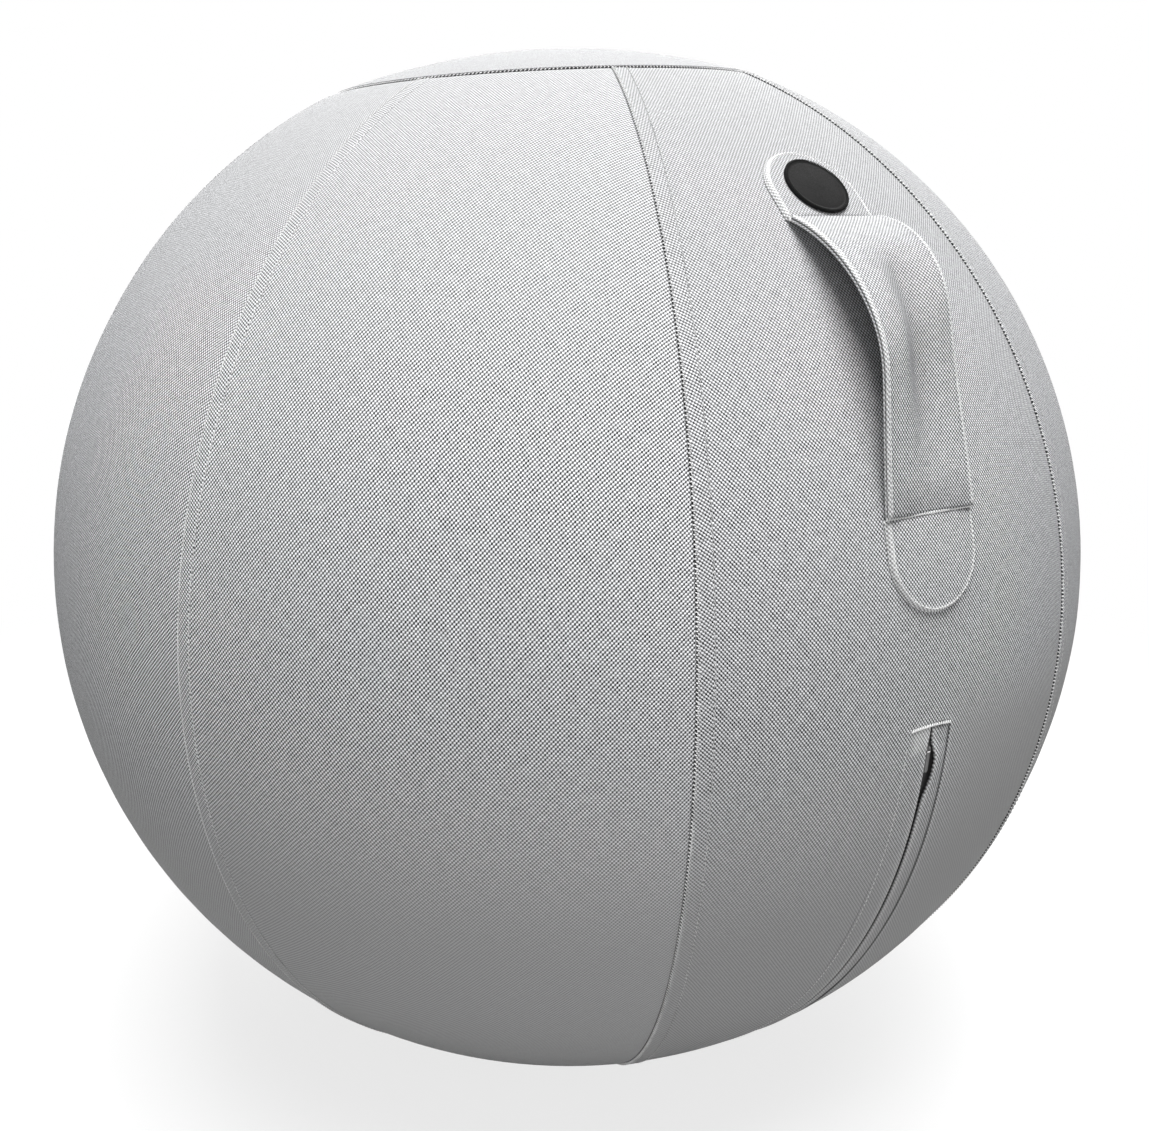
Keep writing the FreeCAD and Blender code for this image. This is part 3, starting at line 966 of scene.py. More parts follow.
@dataclass
class LongPanel:
    """Long panel from cap to cap. Its left edge is folded and lapped over the panel to its left.

    Tilts and the stitches' margin are in degrees, thicknesses in metres and other sizes in millimetres.
    """

    ball: BallForm
    finishes: Finishes
    index: int
    warp_tilt: float = 0.5
    weft_tilt: float = -4.4
    hem_tilt: float = 7.0
    hem_width: float = 8.0
    row_step: float = 5.0
    column_count: int = 14
    thickness: float = 0.0007
    edge_thickness: float = 0.0003
    edge_width: float = 2.0
    cap_reach: float = 9.0
    cap_relief: float = 0.25
    fold_stitch: StitchPlace = StitchPlace(0.6, 0.75, 25.0)
    hem_stitch: StitchPlace = StitchPlace(8.0, 0.6, 0.0)
    ditch_stitch: StitchPlace = StitchPlace(-0.02, 0.3, 42.0)
    stitch_margin: float = 0.35
    stitch_line_points: int = 500
    weave_step: float = 40.0

    ROW_OFFSETS = (0.0, 0.4, 0.9, 1.5, 2.4, 4.0, 7.0)
    # In these edge sections the third column is painted shade in the seams' hollows, and the fourth lightens
    # the folds by wear and by painted highlight.
    FOLDED_EDGE = edge_section(
        (0.70, -0.30, 1.0), (0.25, -0.05, 1.0), (0.08, 0.22, 0.75), (0.20, 0.50, 0.0, 0.1),
        (0.60, 0.72, 0.0, 0.15), (1.40, 0.85, 0.0, 0.1), (2.40, 0.90), (4.50, 0.90), (6.50, 0.80),
        (7.50, 0.60), (7.95, 0.42, 0.1), (8.05, 0.42, 0.1), (8.80, 0.42), (10.50, 0.28), (13.00, 0.10),
        (17.00, 0.0),
    )
    TUCKED_EDGE = edge_section(
        (-2.50, -0.45, 0.7), (0.25, -0.38, 0.95), (0.50, -0.30, 0.55), (1.10, -0.14), (2.60, -0.02),
        (6.00, 0.0),
    )
    CAP_EDGE = edge_section(
        (0.00, -1.25, 1.0), (0.40, -1.15, 0.7), (0.90, -0.90, 0.1), (1.50, -0.70), (2.40, -0.42),
        (4.00, -0.12), (7.00, 0.0),
    )

    @property
    def name(self) -> str:
        """Name of the panel's node."""
        return f"long_panel_{self.index}"

    @property
    def hand(self) -> float:
        """1 for the panels cut right side up, -1 for their mirrored fellows on the ball's left."""
        return -1.0 if self.index > self.ball.panel_count // 2 else 1.0

    @property
    def middle(self) -> float:
        """Azimuth of the panel's middle."""
        return self.ball.front_azimuth + self.index * self.ball.panel_angle

    @property
    def reach(self) -> float:
        """Length from the ball's middle to a cap's seam, in millimetres."""
        return self.ball.seam_latitude * self.ball.degree

    def latitudes(self) -> Array:
        """Latitudes of the rows, from the lower cap seam to the upper one."""
        rows = graded(-self.reach, self.reach, self.ROW_OFFSETS, self.row_step)
        return self.ball.degrees(rows * MM)

    def widths(self, latitude: Array) -> Array:
        """Widths of the panel along its parallels, in millimetres."""
        return self.ball.parallel(latitude) * math.radians(self.ball.panel_angle)

    def azimuths(self, from_seam: Array, latitude: Array) -> Array:
        """Azimuths at some distances from the left seam along the parallels, in millimetres."""
        left_seam = self.middle - self.ball.panel_angle / 2.0
        return left_seam + np.degrees(from_seam / self.ball.parallel(latitude))

    def off_cap(self, latitude: Array) -> Array:
        """Share by which the cloth is free of the nearer cap's seam, from 0 to 1."""
        return smooth(0.0, self.cap_reach, self.ball.from_cap(latitude))

    def relief(self, latitude: Array) -> Array:
        """Share of the edges' height, which the caps' seams press down."""
        return self.cap_relief + (1.0 - self.cap_relief) * self.off_cap(latitude)

    def columns(self, latitude: Array) -> Array:
        """Places of the columns in each row.

        Args:
            latitude: latitudes of the rows.

        Returns:
            Distances from the left seam, rows by columns, in millimetres.
        """
        width = self.widths(latitude)[:, None]
        folded = section_field(self.FOLDED_EDGE, "across")[None]
        tucked = section_field(self.TUCKED_EDGE, "across")[None, ::-1]
        middle = self.between(folded[:, -1:], width - tucked[:, :1], latitude)
        return np.concatenate([folded + 0.0 * width, *middle, width - tucked], axis=1)

    def between(self, start: Array, stop: Array, latitude: Array) -> list[Array]:
        """Columns between the two edges' sections, each block in millimetres from the left seam."""
        shares = np.linspace(0.0, 1.0, self.column_count + 1)[1:-1][None]
        return [start + (stop - start) * shares]

    def edge_field(self, field: str, columns: int) -> Array:
        """A field of the two edges' sections along a row of some columns, 0 between them."""
        middle = (EdgePoint(0.0, 0.0),) * (columns - len(self.FOLDED_EDGE) - len(self.TUCKED_EDGE))
        return section_field((*self.FOLDED_EDGE, *middle, *reversed(self.TUCKED_EDGE)), field)[None]

    def flat_cloth(self, azimuth: Array, latitude: Array, from_seam: Array) -> Array:
        """Place of points in the flat cloth, which lies straight along the panel's middle.

        Args:
            azimuth: azimuths of the points.
            latitude: latitudes of the points.
            from_seam: distances of the columns from the left seam, in millimetres.

        Returns:
            The places, in millimetres.
        """
        turn, rise = np.radians(azimuth - self.middle), np.radians(latitude)
        size = self.ball.radius / MM
        across = size * np.arcsin(np.cos(rise) * np.sin(turn))
        along = size * np.arctan2(np.sin(rise), np.cos(rise) * np.cos(turn))
        hem = np.broadcast_to(from_seam < self.hem_width, across.shape)
        turned_in = np.where(hem, self.hem_tilt, 0.0)
        warp, weft = np.radians(self.warp_tilt + turned_in), np.radians(self.weft_tilt + turned_in)
        warp_place = across * np.cos(warp) + along * np.sin(warp)
        weft_place = along * np.cos(weft) - across * np.sin(weft)
        return np.stack([np.where(hem, 1.0, self.hand) * warp_place, weft_place], axis=-1)

    def grid(self) -> ClothGrid:
        """Lays out the panel's cloth.

        Returns:
            The grid.
        """
        rows = self.latitudes()
        from_seam = self.columns(rows)
        level = np.broadcast_to(rows[:, None], from_seam.shape)
        azimuth = self.azimuths(from_seam, level)
        latitude = self.ball.fitted(azimuth, level)
        from_cap = self.ball.from_cap(level)
        height, crease, worn = (self.edge_field(field, from_seam.shape[1]) for field in EDGE_FIELDS)
        height = (height * self.relief(level) + table_value(self.CAP_EDGE, "height", from_cap)) * MM
        ripples = self.ball.ripples(self.ball.at(azimuth, latitude, 0.0)) * self.off_cap(level)
        points = self.ball.at(azimuth, latitude, height + ripples)
        crease = np.maximum(crease, table_value(self.CAP_EDGE, "crease", from_cap))
        from_edge = np.minimum(from_seam, self.widths(rows)[:, None] - from_seam)
        thickness = np.where(from_edge < self.edge_width, self.edge_thickness, self.thickness)
        flat = self.flat_cloth(azimuth, latitude, from_seam)
        return ClothGrid(points, flat, crease, worn * self.off_cap(level), thickness)

    def build(self) -> None:
        """Makes and dresses the panel."""
        piece = self.grid().build(f"{self.name}_cloth", self.weave_step * self.index)
        # The mirrored panels take the lighter copy of the finish, with its painted sheen.
        material = self.finishes.mirrored if self.hand < 0.0 else self.finishes.cover
        place(piece, Body.COVER, material, Slot.COVER, self.name)

    def stitch_line(self, row: StitchPlace) -> Line:
        """Line of a row of stitches beside the left seam.

        Args:
            row: place of the row.

        Returns:
            Points from the upper cap down, and the outward unit vectors there.
        """
        end = self.ball.seam_latitude - self.stitch_margin
        level = np.linspace(end, -end, self.stitch_line_points)
        azimuth = self.azimuths(row.across, level)
        latitude = self.ball.fitted(azimuth, level)
        leftward = self.ball.direction(azimuth - 90.0, np.zeros(len(level)))
        facing = self.ball.direction(azimuth, latitude) + math.tan(math.radians(row.lean)) * leftward
        return self.ball.at(azimuth, latitude, row.height * self.relief(level) * MM), unit(facing)


@dataclass
class ZipPanel(LongPanel):
    """Front panel, with the window that the zip is sewn into.

    The window's sides are in millimetres from the front meridian's plane, and its ends are latitudes.
    On the left the lip lies flush with the panel, up to a distance beyond the window's ends.
    """

    warp_tilt: float = -1.6
    weft_tilt: float = -1.9
    window_left: float = -16.9
    window_right: float = 12.9
    window_top: float = -2.1
    window_bottom: float = -60.0
    window_columns: int = 6
    flush_beyond: float = 1.0
    cut_margin: float = 0.05

    WINDOW_OFFSETS = (0.0, 0.3, 0.8, 1.6, 3.0, 5.0)
    # Third column: painted shade round the window's seam. Fourth: lightening of its fold by wear and by
    # painted highlight.
    WINDOW_EDGE = edge_section(
        (0.00, -0.55, 1.0), (0.30, -0.05, 0.55), (0.80, 0.15, 0.0, 0.25), (1.60, 0.20, 0.0, 0.15),
        (3.00, 0.15), (5.00, 0.0),
    )

    @property
    def name(self) -> str:
        """Name of the panel's node."""
        return "zip_panel"

    def latitudes(self) -> Array:
        """Latitudes of the rows, close together at the window's ends.

        Returns:
            The latitudes, from the lower cap seam to the upper one.
        """
        low, high = self.window_bottom * self.ball.degree, self.window_top * self.ball.degree
        far = np.array(self.WINDOW_OFFSETS)
        lower = graded(-self.reach, low - far[-1], self.ROW_OFFSETS, self.row_step)
        inside = np.linspace(low, high, round((high - low) / self.row_step))
        upper = graded(high + far[-1], self.reach, self.ROW_OFFSETS, self.row_step)
        rows = [lower[:-1], low - far[::-1], inside[1:-1], high + far, upper[1:]]
        return self.ball.degrees(np.concatenate(rows) * MM)

    def between(self, start: Array, stop: Array, latitude: Array) -> list[Array]:
        """Columns between the edges' sections, close together at the window's sides.

        Args:
            start: where the left edge's section ends, in millimetres from the left seam.
            stop: where the right edge's section starts in each row.
            latitude: latitudes of the rows.

        Returns:
            Blocks of columns left of the window, round it and right of it, from the left seam.
        """
        far = np.array(self.WINDOW_OFFSETS)
        inside = np.linspace(self.window_left, self.window_right, self.window_columns)[1:-1]
        across = np.concatenate([self.window_left - far[::-1], inside, self.window_right + far])
        parallel = self.ball.parallel(latitude)[:, None]
        window = self.widths(latitude)[:, None] / 2.0 + parallel * np.arcsin(across[None] / parallel)
        shares = np.linspace(0.0, 1.0, self.column_count // 2 + 1)[1:-1][None]
        left = start + (window[:, :1] - start) * shares
        right = window[:, -1:] + (stop - window[:, -1:]) * shares
        return [left, window, right]

    def grid(self) -> ClothGrid:
        """Lays out the panel's cloth round the window.

        Returns:
            The grid.
        """
        made = super().grid()
        local = made.points - np.array(self.ball.centre)
        across = local[..., 0] / MM
        up = np.degrees(np.arctan2(local[..., 2], -local[..., 1]))
        beside = np.maximum(self.window_left - across, across - self.window_right)
        beyond = np.maximum(self.window_bottom - up, up - self.window_top) * self.ball.degree
        off = np.hypot(np.maximum(beside, 0.0), np.maximum(beyond, 0.0))
        folded = np.where((across < 0.0) & (beyond < self.flush_beyond), 0.0, 1.0)
        height, crease, worn = (table_value(self.WINDOW_EDGE, field, off) * folded for field in EDGE_FIELDS)
        made.points += unit(local) * (height * MM)[..., None]
        made.crease = np.maximum(made.crease, crease)
        made.worn = np.maximum(made.worn, worn)
        outside = np.maximum(beside, beyond)
        corners = [outside[:-1, :-1], outside[:-1, 1:], outside[1:, 1:], outside[1:, :-1]]
        made.kept = np.mean(corners, axis=0) > self.cut_margin
        return made


@dataclass
class Cap:
    """Round panel over the top of the ball or under it.

    The thickness is in metres, the tilt in degrees and the other sizes in millimetres.
    """

    ball: BallForm
    finishes: Finishes
    end: End
    columns: int = 192
    row_step: float = 6.0
    grain_tilt: float = 20.0
    thickness: float = 0.0007
    pole_radius: float = 0.4
    stitch_spacing: float = 2.1
    stitch_length: float = 2.4
    stitch_sink: float = 0.45
    stitch_slant: float = 0.3
    weave_seed: float = 500.0
    weave_step: float = 40.0

    # Third column: painted shade in the cap's seam.
    SEAM_EDGE = edge_section(
        (0.00, -1.25, 1.0), (0.40, -0.50, 1.0), (0.90, -0.02, 0.6), (1.50, 0.15, 0.05), (2.40, 0.12),
        (4.00, 0.0),
    )

    @property
    def name(self) -> str:
        """Name of the cap's node."""
        return "top_cap" if self.end is End.UPPER else "bottom_cap"

    @property
    def dome_radius(self) -> float:
        """Radius of the dome's arc, in metres."""
        return (self.ball.cap_seam_radius ** 2 + self.ball.crown_rise ** 2) / (2.0 * self.ball.crown_rise)

    @property
    def arc(self) -> float:
        """Length over the dome from its seam to its pole, in metres."""
        return self.dome_radius * math.asin(self.ball.cap_seam_radius / self.dome_radius)

    def dome(self, from_axis: Array) -> Array:
        """Heights of the cap above the ball's centre.

        Args:
            from_axis: distances from the ball's upright axis, in metres.

        Returns:
            The heights, in metres, cut off level where the ball stands on the floor.
        """
        seam = math.sqrt(self.ball.radius ** 2 - self.ball.cap_seam_radius ** 2)
        crown = seam + self.ball.crown_rise
        height = crown - self.dome_radius + np.sqrt(self.dome_radius ** 2 - from_axis ** 2)
        if self.end is End.LOWER:
            height = np.minimum(height, self.ball.centre[2])
        return height

    def grid(self) -> ClothGrid:
        """Lays out the cap's cloth.

        Returns:
            The grid.
        """
        arc, near = self.arc / MM, np.array(LongPanel.ROW_OFFSETS)
        steps = round((arc - near[-1]) / self.row_step)
        from_seam = np.concatenate([near[:-1], np.linspace(near[-1], arc - self.pole_radius, steps)])
        from_pole = arc - from_seam
        from_axis = self.dome_radius * np.sin(from_pole * MM / self.dome_radius)
        turn = full_turn(self.columns)
        height = table_value(self.SEAM_EDGE, "height", from_seam) * MM
        lean = np.arcsin(from_axis / self.dome_radius)
        around = (from_axis + height * np.sin(lean))[:, None]
        level = self.end.value * (self.dome(from_axis) + height * np.cos(lean))[:, None]
        parts = [around * np.cos(turn), around * np.sin(turn), level + 0.0 * turn]
        points = np.array(self.ball.centre) + np.stack(parts, axis=-1)
        if self.end is End.UPPER:
            points = self.ball.leaned(points)
        tilt = turn + math.radians(self.grain_tilt)
        flat = from_pole[:, None, None] * np.stack([np.cos(tilt), np.sin(tilt)], axis=-1)
        crease = np.repeat(table_value(self.SEAM_EDGE, "crease", from_seam)[:, None], self.columns, axis=1)
        made = ClothGrid(points, flat, crease, 0.0 * crease, 0.0 * crease + self.thickness, ring=True)
        made.pole = len(from_seam) - 1
        return made if self.end is End.UPPER else made.flipped()

    def build(self) -> None:
        """Makes and dresses the cap."""
        seed = self.weave_seed + self.weave_step * self.end.value
        piece = self.grid().build(f"{self.name}_cloth", seed)
        place(piece, Body.COVER, self.finishes.cover, Slot.COVER, self.name)

    def ladder(self, thread: Thread) -> None:
        """Makes the short stitches across the cap's seam.

        Args:
            thread: the thread.
        """
        count = round(2.0 * math.pi * self.ball.cap_seam_radius / (self.stitch_spacing * MM))
        azimuth = np.arange(count) * 360.0 / count
        level = np.full(count, -self.ball.seam_latitude)
        latitude = self.ball.seam_at(azimuth) if self.end is End.UPPER else level
        outs = self.ball.direction(azimuth, latitude)
        middles = self.ball.at(azimuth, latitude, np.full(count, -self.stitch_sink * MM))
        around = unit(np.cross(UP, outs))
        alongs = unit(np.cross(outs, around) + self.stitch_slant * around)
        lengths = np.full(count, self.stitch_length * MM)
        piece = thread.laid(f"{self.name}_seam_stitches", middles, alongs, outs, lengths)
        place(piece, Body.COVER, self.finishes.thread)


@dataclass
class Cover:
    """Sewn cover: eight long panels, two caps and the stitches that show on them."""

    ball: BallForm
    finishes: Finishes

    FOLD_THREAD = Thread(radius=0.00026, pitch=0.0021, share=0.6, slant=-1.1, seed=5)
    HEM_THREAD = Thread(radius=0.00021, pitch=0.0031, share=0.72, slant=-0.45)
    DITCH_THREAD = Thread(radius=0.00032, pitch=0.0021, share=0.62, slant=-3.0, seed=13)
    CAP_THREAD = Thread(radius=0.0002, arch=0.0001, seed=11)

    def __post_init__(self) -> None:
        """Lays out the panels and the caps."""
        shared = (self.ball, self.finishes)
        rest = [LongPanel(*shared, index) for index in range(1, self.ball.panel_count)]
        self.zip_panel = ZipPanel(*shared, 0)
        self.panels: list[LongPanel] = [self.zip_panel, *rest]
        self.caps = [Cap(*shared, end) for end in End]

    def sew(self, name: str, row: StitchPlace, thread: Thread, material: Material) -> None:
        """Makes a row of stitches beside every long seam."""
        piece = thread.stitches(name, [panel.stitch_line(row) for panel in self.panels])
        place(piece, Body.COVER, material)

    def build(self) -> None:
        """Makes and dresses every piece of the cover."""
        for piece in [*self.panels, *self.caps]:
            piece.build()
        panel, dull = self.zip_panel, self.finishes.seam_thread
        self.sew("panel_fold_stitches", panel.fold_stitch, self.FOLD_THREAD, dull)
        self.sew("panel_hem_stitches", panel.hem_stitch, self.HEM_THREAD, dull)
        self.sew("panel_ditch_stitches", panel.ditch_stitch, self.DITCH_THREAD, self.finishes.thread)
        for cap in self.caps:
            cap.ladder(self.CAP_THREAD)


@dataclass
class Strap:
    """Carrying strap: a loop of two plies between two half-round ends sewn to the cover.

    Sizes are in metres and angles in degrees. Painted shades and the reaches of shades are shares and
    millimetres.
    """

    ball: BallForm
    finishes: Finishes
    width: float = 0.057
    upper_bar: float = 43.0
    lower_bar: float = 16.1
    crest_latitude: float = 33.5
    crest_clearance: float = 0.020
    crest_bend: float = 0.066
    end_lift: float = 0.0003
    bar_gap: float = 0.0003
    end_straight: float = 0.018
    ply: float = 0.00115
    ply_gap: float = 0.00012
    crest_slant: float = 2.4
    crest_tip: float = 0.0012
    dent_depth: float = 0.005
    dent_left: float = -0.012
    dent_floor: float = 0.002
    dent_right: float = 0.027
    dent_from: Span = (16.5, 28.5)
    dent_to: Span = (33.5, 39.0)
    dent_shade: float = 0.26
    dent_shade_from: Span = (-0.018, -0.003)
    dent_shade_to: Span = (-0.002, 0.016)
    lower_bar_shade: float = 0.28
    lower_bar_reach: float = 24.0
    upper_bar_shade: float = 0.2
    upper_bar_reach: float = 2.0
    ply_seam_width: float = 0.9
    ply_seam_reach: float = 0.45
    end_bar_shade: float = 0.1
    end_bar_reach: float = 1.5
    end_thickness: float = 0.0006
    end_edge_thickness: float = 0.0001
    rim_inset: float = 0.002
    grain_tilt: float = -4.0
    rows: int = 84
    loop_seed: float = 800.0
    end_seed: float = 700.0
    weave_step: float = 30.0

    FACE_PLACES = (0.7, 1.0, 1.4, 1.8, 2.2, 2.6, 3.0, 3.7, 4.5, 6.0, 9.0, 12.0, 15.0, 18.0, 21.0, 24.0, 26.5)
    NOSE_TURNS = np.linspace(60.0, -60.0, 7)
    TIP_TURNS = np.concatenate([np.arange(0.0, 60.0, 6.0), np.arange(60.0, 89.0, 1.5)])
    SIDE_TURNS = np.arange(56.0, 91.0, 2.0)
    MIDDLE_TURNS = np.linspace(-54.0, 54.0, 16)
    EDGE_THREAD = Thread(radius=0.00018, pitch=0.0024, share=0.7, seed=23)
    BAR_THREAD = Thread(radius=0.0004, arch=0.0005, seed=29)
    # Third column: painted shade in the stitched grooves. Fourth: lightening by wear and by painted
    # highlight, mostly painted highlight on the ends' rims, which face away from the light.
    EDGE = edge_section(
        (0.60, 0.28, 0.0, 0.7), (1.40, 0.42, 0.0, 0.6), (2.20, 0.34, 0.0, 0.25), (3.00, 0.12, 0.15),
        (4.50, 0.05), (9.00, 0.0),
    )
    END_EDGE = edge_section(
        (0.00, 0.00, 0.5), (0.08, 0.55, 0.1, 0.8), (0.28, 1.00, 0.0, 0.9), (0.50, 1.12, 0.5, 0.2),
        (0.66, 1.35, 0.15, 0.6), (0.95, 1.80, 0.0, 0.9), (1.40, 2.12, 0.0, 0.9), (2.00, 2.25, 0.0, 0.8),
        (2.60, 2.20, 0.0, 0.4), (3.20, 2.08, 0.15), (3.90, 2.05), (7.00, 2.20),
    )

    @property
    def half(self) -> float:
        """Half of the strap's width."""
        return self.width / 2.0

    def span(self) -> Span:
        """Latitudes of the loop's lower and upper ends."""
        gap = float(self.ball.degrees(self.bar_gap))
        return self.lower_bar + gap, self.upper_bar - gap

    def bow(self, latitude: Array) -> Array:
        """Share along the loop, 0 at both bars and 1 half way."""
        low, high = self.span()
        return np.sin(np.pi * np.clip((latitude - low) / (high - low), 0.0, 1.0))

    def line(self, latitude: Array, offset: Array) -> Array:
        """Distances of the loop's line from the ball's centre.

        Args:
            latitude: angles up the front meridian.
            offset: distances outward from the loop's underside, in metres.

        Returns:
            The distances, in metres.
        """
        low, high = self.span()
        crest = self.ball.radius + self.crest_clearance
        end = self.ball.radius + self.end_lift
        turn = np.radians(np.abs(latitude - self.crest_latitude))
        rise = math.radians(high - self.crest_latitude)
        drop = crest - end * math.cos(rise)
        upper_bend = ((end * math.sin(rise)) ** 2 + drop ** 2) / (2.0 * drop)
        fall = math.radians(self.crest_latitude - low)
        lower_middle = crest - self.crest_bend
        foot = math.hypot(end * math.sin(fall), end * math.cos(fall) - lower_middle)
        lean = math.acos(self.crest_bend / foot)
        bend_turn = math.atan2(end * math.sin(fall), end * math.cos(fall) - lower_middle) - lean

        def bent(bend: float) -> Array:
            """Distance of a bend that is level at the crest."""
            middle = crest - bend
            return middle * np.cos(turn) + np.sqrt((bend + offset) ** 2 - (middle * np.sin(turn)) ** 2)

        bend = self.crest_bend + offset
        straight = (bend + lower_middle * math.cos(bend_turn)) / np.cos(turn - bend_turn)
        leaves = np.arctan2(bend * math.sin(bend_turn), bend * math.cos(bend_turn) + lower_middle)
        below = np.where(turn < leaves, bent(self.crest_bend), straight)
        return np.where(latitude >= self.crest_latitude, bent(upper_bend), below)

    def dent_along(self, latitude: Array) -> Array:
        """Share of the dent's depth along the loop."""
        return smooth(*self.dent_from, latitude) * (1.0 - smooth(*self.dent_to, latitude))

    def on_loop(self, latitude: Array, across: Array, offset: Array) -> Array:
        """Points of the loop, with its slanting crest and its dent.

        Args:
            latitude: angles up the front meridian.
            across: distances to the right of the strap's middle, in metres.
            offset: distances outward from the loop's underside, in metres.

        Returns:
            The points, in metres.
        """
        latitude, across, offset = np.broadcast_arrays(latitude, across, offset)
        share, bow = across / self.half, self.bow(latitude)
        reach = self.line(latitude - self.crest_slant * share * bow, offset)
        dent = smooth(self.dent_left, self.dent_floor, across)
        dent = dent * (1.0 - smooth(self.dent_floor, self.dent_right, across)) * self.dent_along(latitude)
        reach = reach - self.dent_depth * dent - self.crest_tip * share * bow
        return self.ball.in_front(across, latitude, reach)

    def girth(self, across: Array, outward: Array, outer: bool) -> Array:
        """Distances round a ply's section, from the middle of the face that shows.

        Args:
            across: places of the section's points across the strap, in metres.
            outward: their distances outward from the loop's underside, in metres.
            outer: True for the outer ply.

        Returns:
            The distances, in millimetres, below 0 to the left.
        """
        middles = np.flatnonzero(np.isclose(across, 0.0))
        start = middles[0] if outer else middles[-1]
        ring = np.roll(np.stack([across, outward], axis=-1), -start, axis=0)
        steps = np.linalg.norm(np.roll(ring, -1, axis=0) - ring, axis=1) / MM
        along = np.cumsum(steps) - steps
        signed = np.where(along <= steps.sum() / 2.0, along, along - steps.sum())
        return np.roll(signed, start)

    def section(self, outer: bool) -> tuple[Array, Array, Array]:
        """Section of a ply round its outside, from its left edge along its outer face.

        Args:
            outer: True for the outer ply.

        Returns:
            Places across, distances outward from the loop's underside, and distances from the
            nearer edge in millimetres.
        """
        from_edge = np.array(self.FACE_PLACES)
        full = self.ply + table_value(self.EDGE, "height", from_edge) * MM
        full = np.concatenate([full, full[-1:], full[::-1]])
        face = np.concatenate([from_edge * MM - self.half, [0.0], self.half - from_edge[::-1] * MM])
        hidden = self.ply + self.ply_gap * (1.0 if outer else 0.0)
        top = hidden + full if outer else hidden + 0.0 * full
        bottom = hidden + 0.0 * full if outer else hidden - full
        bead = (top[0] - bottom[0]) / 2.0
        sweep = np.radians(self.NOSE_TURNS)
        nose = self.half - bead + bead * np.cos(sweep)
        side = (top[0] + bottom[0]) / 2.0 + bead * np.sin(sweep)
        across = np.concatenate([face, nose, face[::-1], -nose[::-1]])
        outward = np.concatenate([top, side, bottom[::-1], side[::-1]])
        return across, outward, (self.half - np.abs(across)) / MM

    def bar_shade(self, along: Array) -> Array:
        """Painted shade on the loop beside its two bars, at distances along it in millimetres."""
        lower = self.lower_bar_shade * (1.0 - smooth(0.0, self.lower_bar_reach, along))
        return np.maximum(lower, self.upper_bar_shade * smooth(-self.upper_bar_reach, 0.0, along - along[-1]))

    def loop_ply(self, outer: bool) -> None:
        """Makes one ply of the loop.

        Args:
            outer: True for the outer ply.
        """
        latitude = np.linspace(*self.span(), self.rows)[:, None]
        across, outward, from_edge = self.section(outer)
        points = self.on_loop(latitude, across[None], outward[None])
        middle = self.on_loop(latitude, np.zeros((1, 1)), np.full((1, 1), self.ply))[:, 0]
        along = length_along(middle)[:, None] / MM
        flat = self.turned(*np.broadcast_arrays(self.girth(across, outward, outer)[None], along))
        # Painted shade in the gap between the two plies near their edges.
        between = np.abs(outward - self.ply - self.ply_gap / 2.0) / MM
        ply_seam = 1.0 - smooth(0.0, self.ply_seam_reach, between)
        ply_seam = np.where(from_edge < self.ply_seam_width, ply_seam, 0.0)
        crease = np.maximum(table_value(self.EDGE, "crease", from_edge), ply_seam)[None]
        # Painted shade on the dent's flank, which faces away from the light.
        flank = smooth(*self.dent_shade_from, across) * (1.0 - smooth(*self.dent_shade_to, across))
        crease = np.maximum(crease, self.dent_shade * self.dent_along(latitude) * flank[None])
        crease = np.maximum(crease, self.bar_shade(along))
        worn = 0.0 * along + (table_value(self.EDGE, "worn", from_edge) * (1.0 - ply_seam))[None]
        node = "strap_outer_ply" if outer else "strap_inner_ply"
        seed = self.loop_seed + self.weave_step * outer
        piece = swept_piece(f"{node}_cloth", points, flat, crease, worn, seed)
        self.give_way(piece)
        dress(piece, self.finishes.strap, Slot.STRAP, node)

    def turned(self, across: Array, along: Array) -> Array:
        """Places in the strap's cloth, which is cut slightly off its grain, in millimetres."""
        cos, sin = math.cos(math.radians(self.grain_tilt)), math.sin(math.radians(self.grain_tilt))
        return np.stack([across * cos + along * sin, along * cos - across * sin], axis=-1)

    def give_way(self, piece: Piece) -> None:
        """Bakes the placement of a piece of the loop into its points.

        Args:
            piece: the piece.
        """
        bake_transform(piece)

    def edge_rows(self) -> list[Line]:
        """Lines of the stitches along the loop's two edges.

        Returns:
            For each edge, its points and the outward unit vectors there.
        """
        rim, margin, count = 0.38 * MM, 0.35, 160
        low, high = self.span()
        latitude = np.linspace(low + margin, high - margin, count)
        over = 2.0 * self.ply + self.ply_gap + rim
        lines = []
        for side in Side:
            across = np.full(count, side.value * (self.half - self.rim_inset))
            points, inner = (self.on_loop(latitude, across, np.full(count, offset)) for offset in (over, 0.0))
            lines.append((points, unit(points - inner)))
        return lines

    def end_outline(self, across: Array, along: Array) -> Array:
        """Distances inward from the outline of a sewn end, in millimetres."""
        beyond = np.maximum(along - self.end_straight, 0.0)
        return (self.half - np.hypot(across, beyond)) / MM

    def rim_slack(self, inward: Array) -> Array:
        """Cloth that the rim's rise takes up, outward from the end's level middle.

        Args:
            inward: distances from the outline, in millimetres.

        Returns:
            The lengths of cloth, in millimetres.
        """
        places, heights = (section_field(self.END_EDGE, field) for field in ("across", "height"))
        steps = np.hypot(np.diff(places), np.diff(heights)) - np.diff(places)
        slack = np.append(np.cumsum(steps[::-1])[::-1], 0.0)
        return np.interp(inward, places, slack)

    def on_end(self, end: End, across: Array, along: Array, height: Array) -> Array:
        """Points of a sewn end, across the strap and along it from its bar, in metres."""
        bar = self.upper_bar if end is End.UPPER else self.lower_bar
        return self.ball.beside_front(across, bar + end.value * self.ball.degrees(along), height)

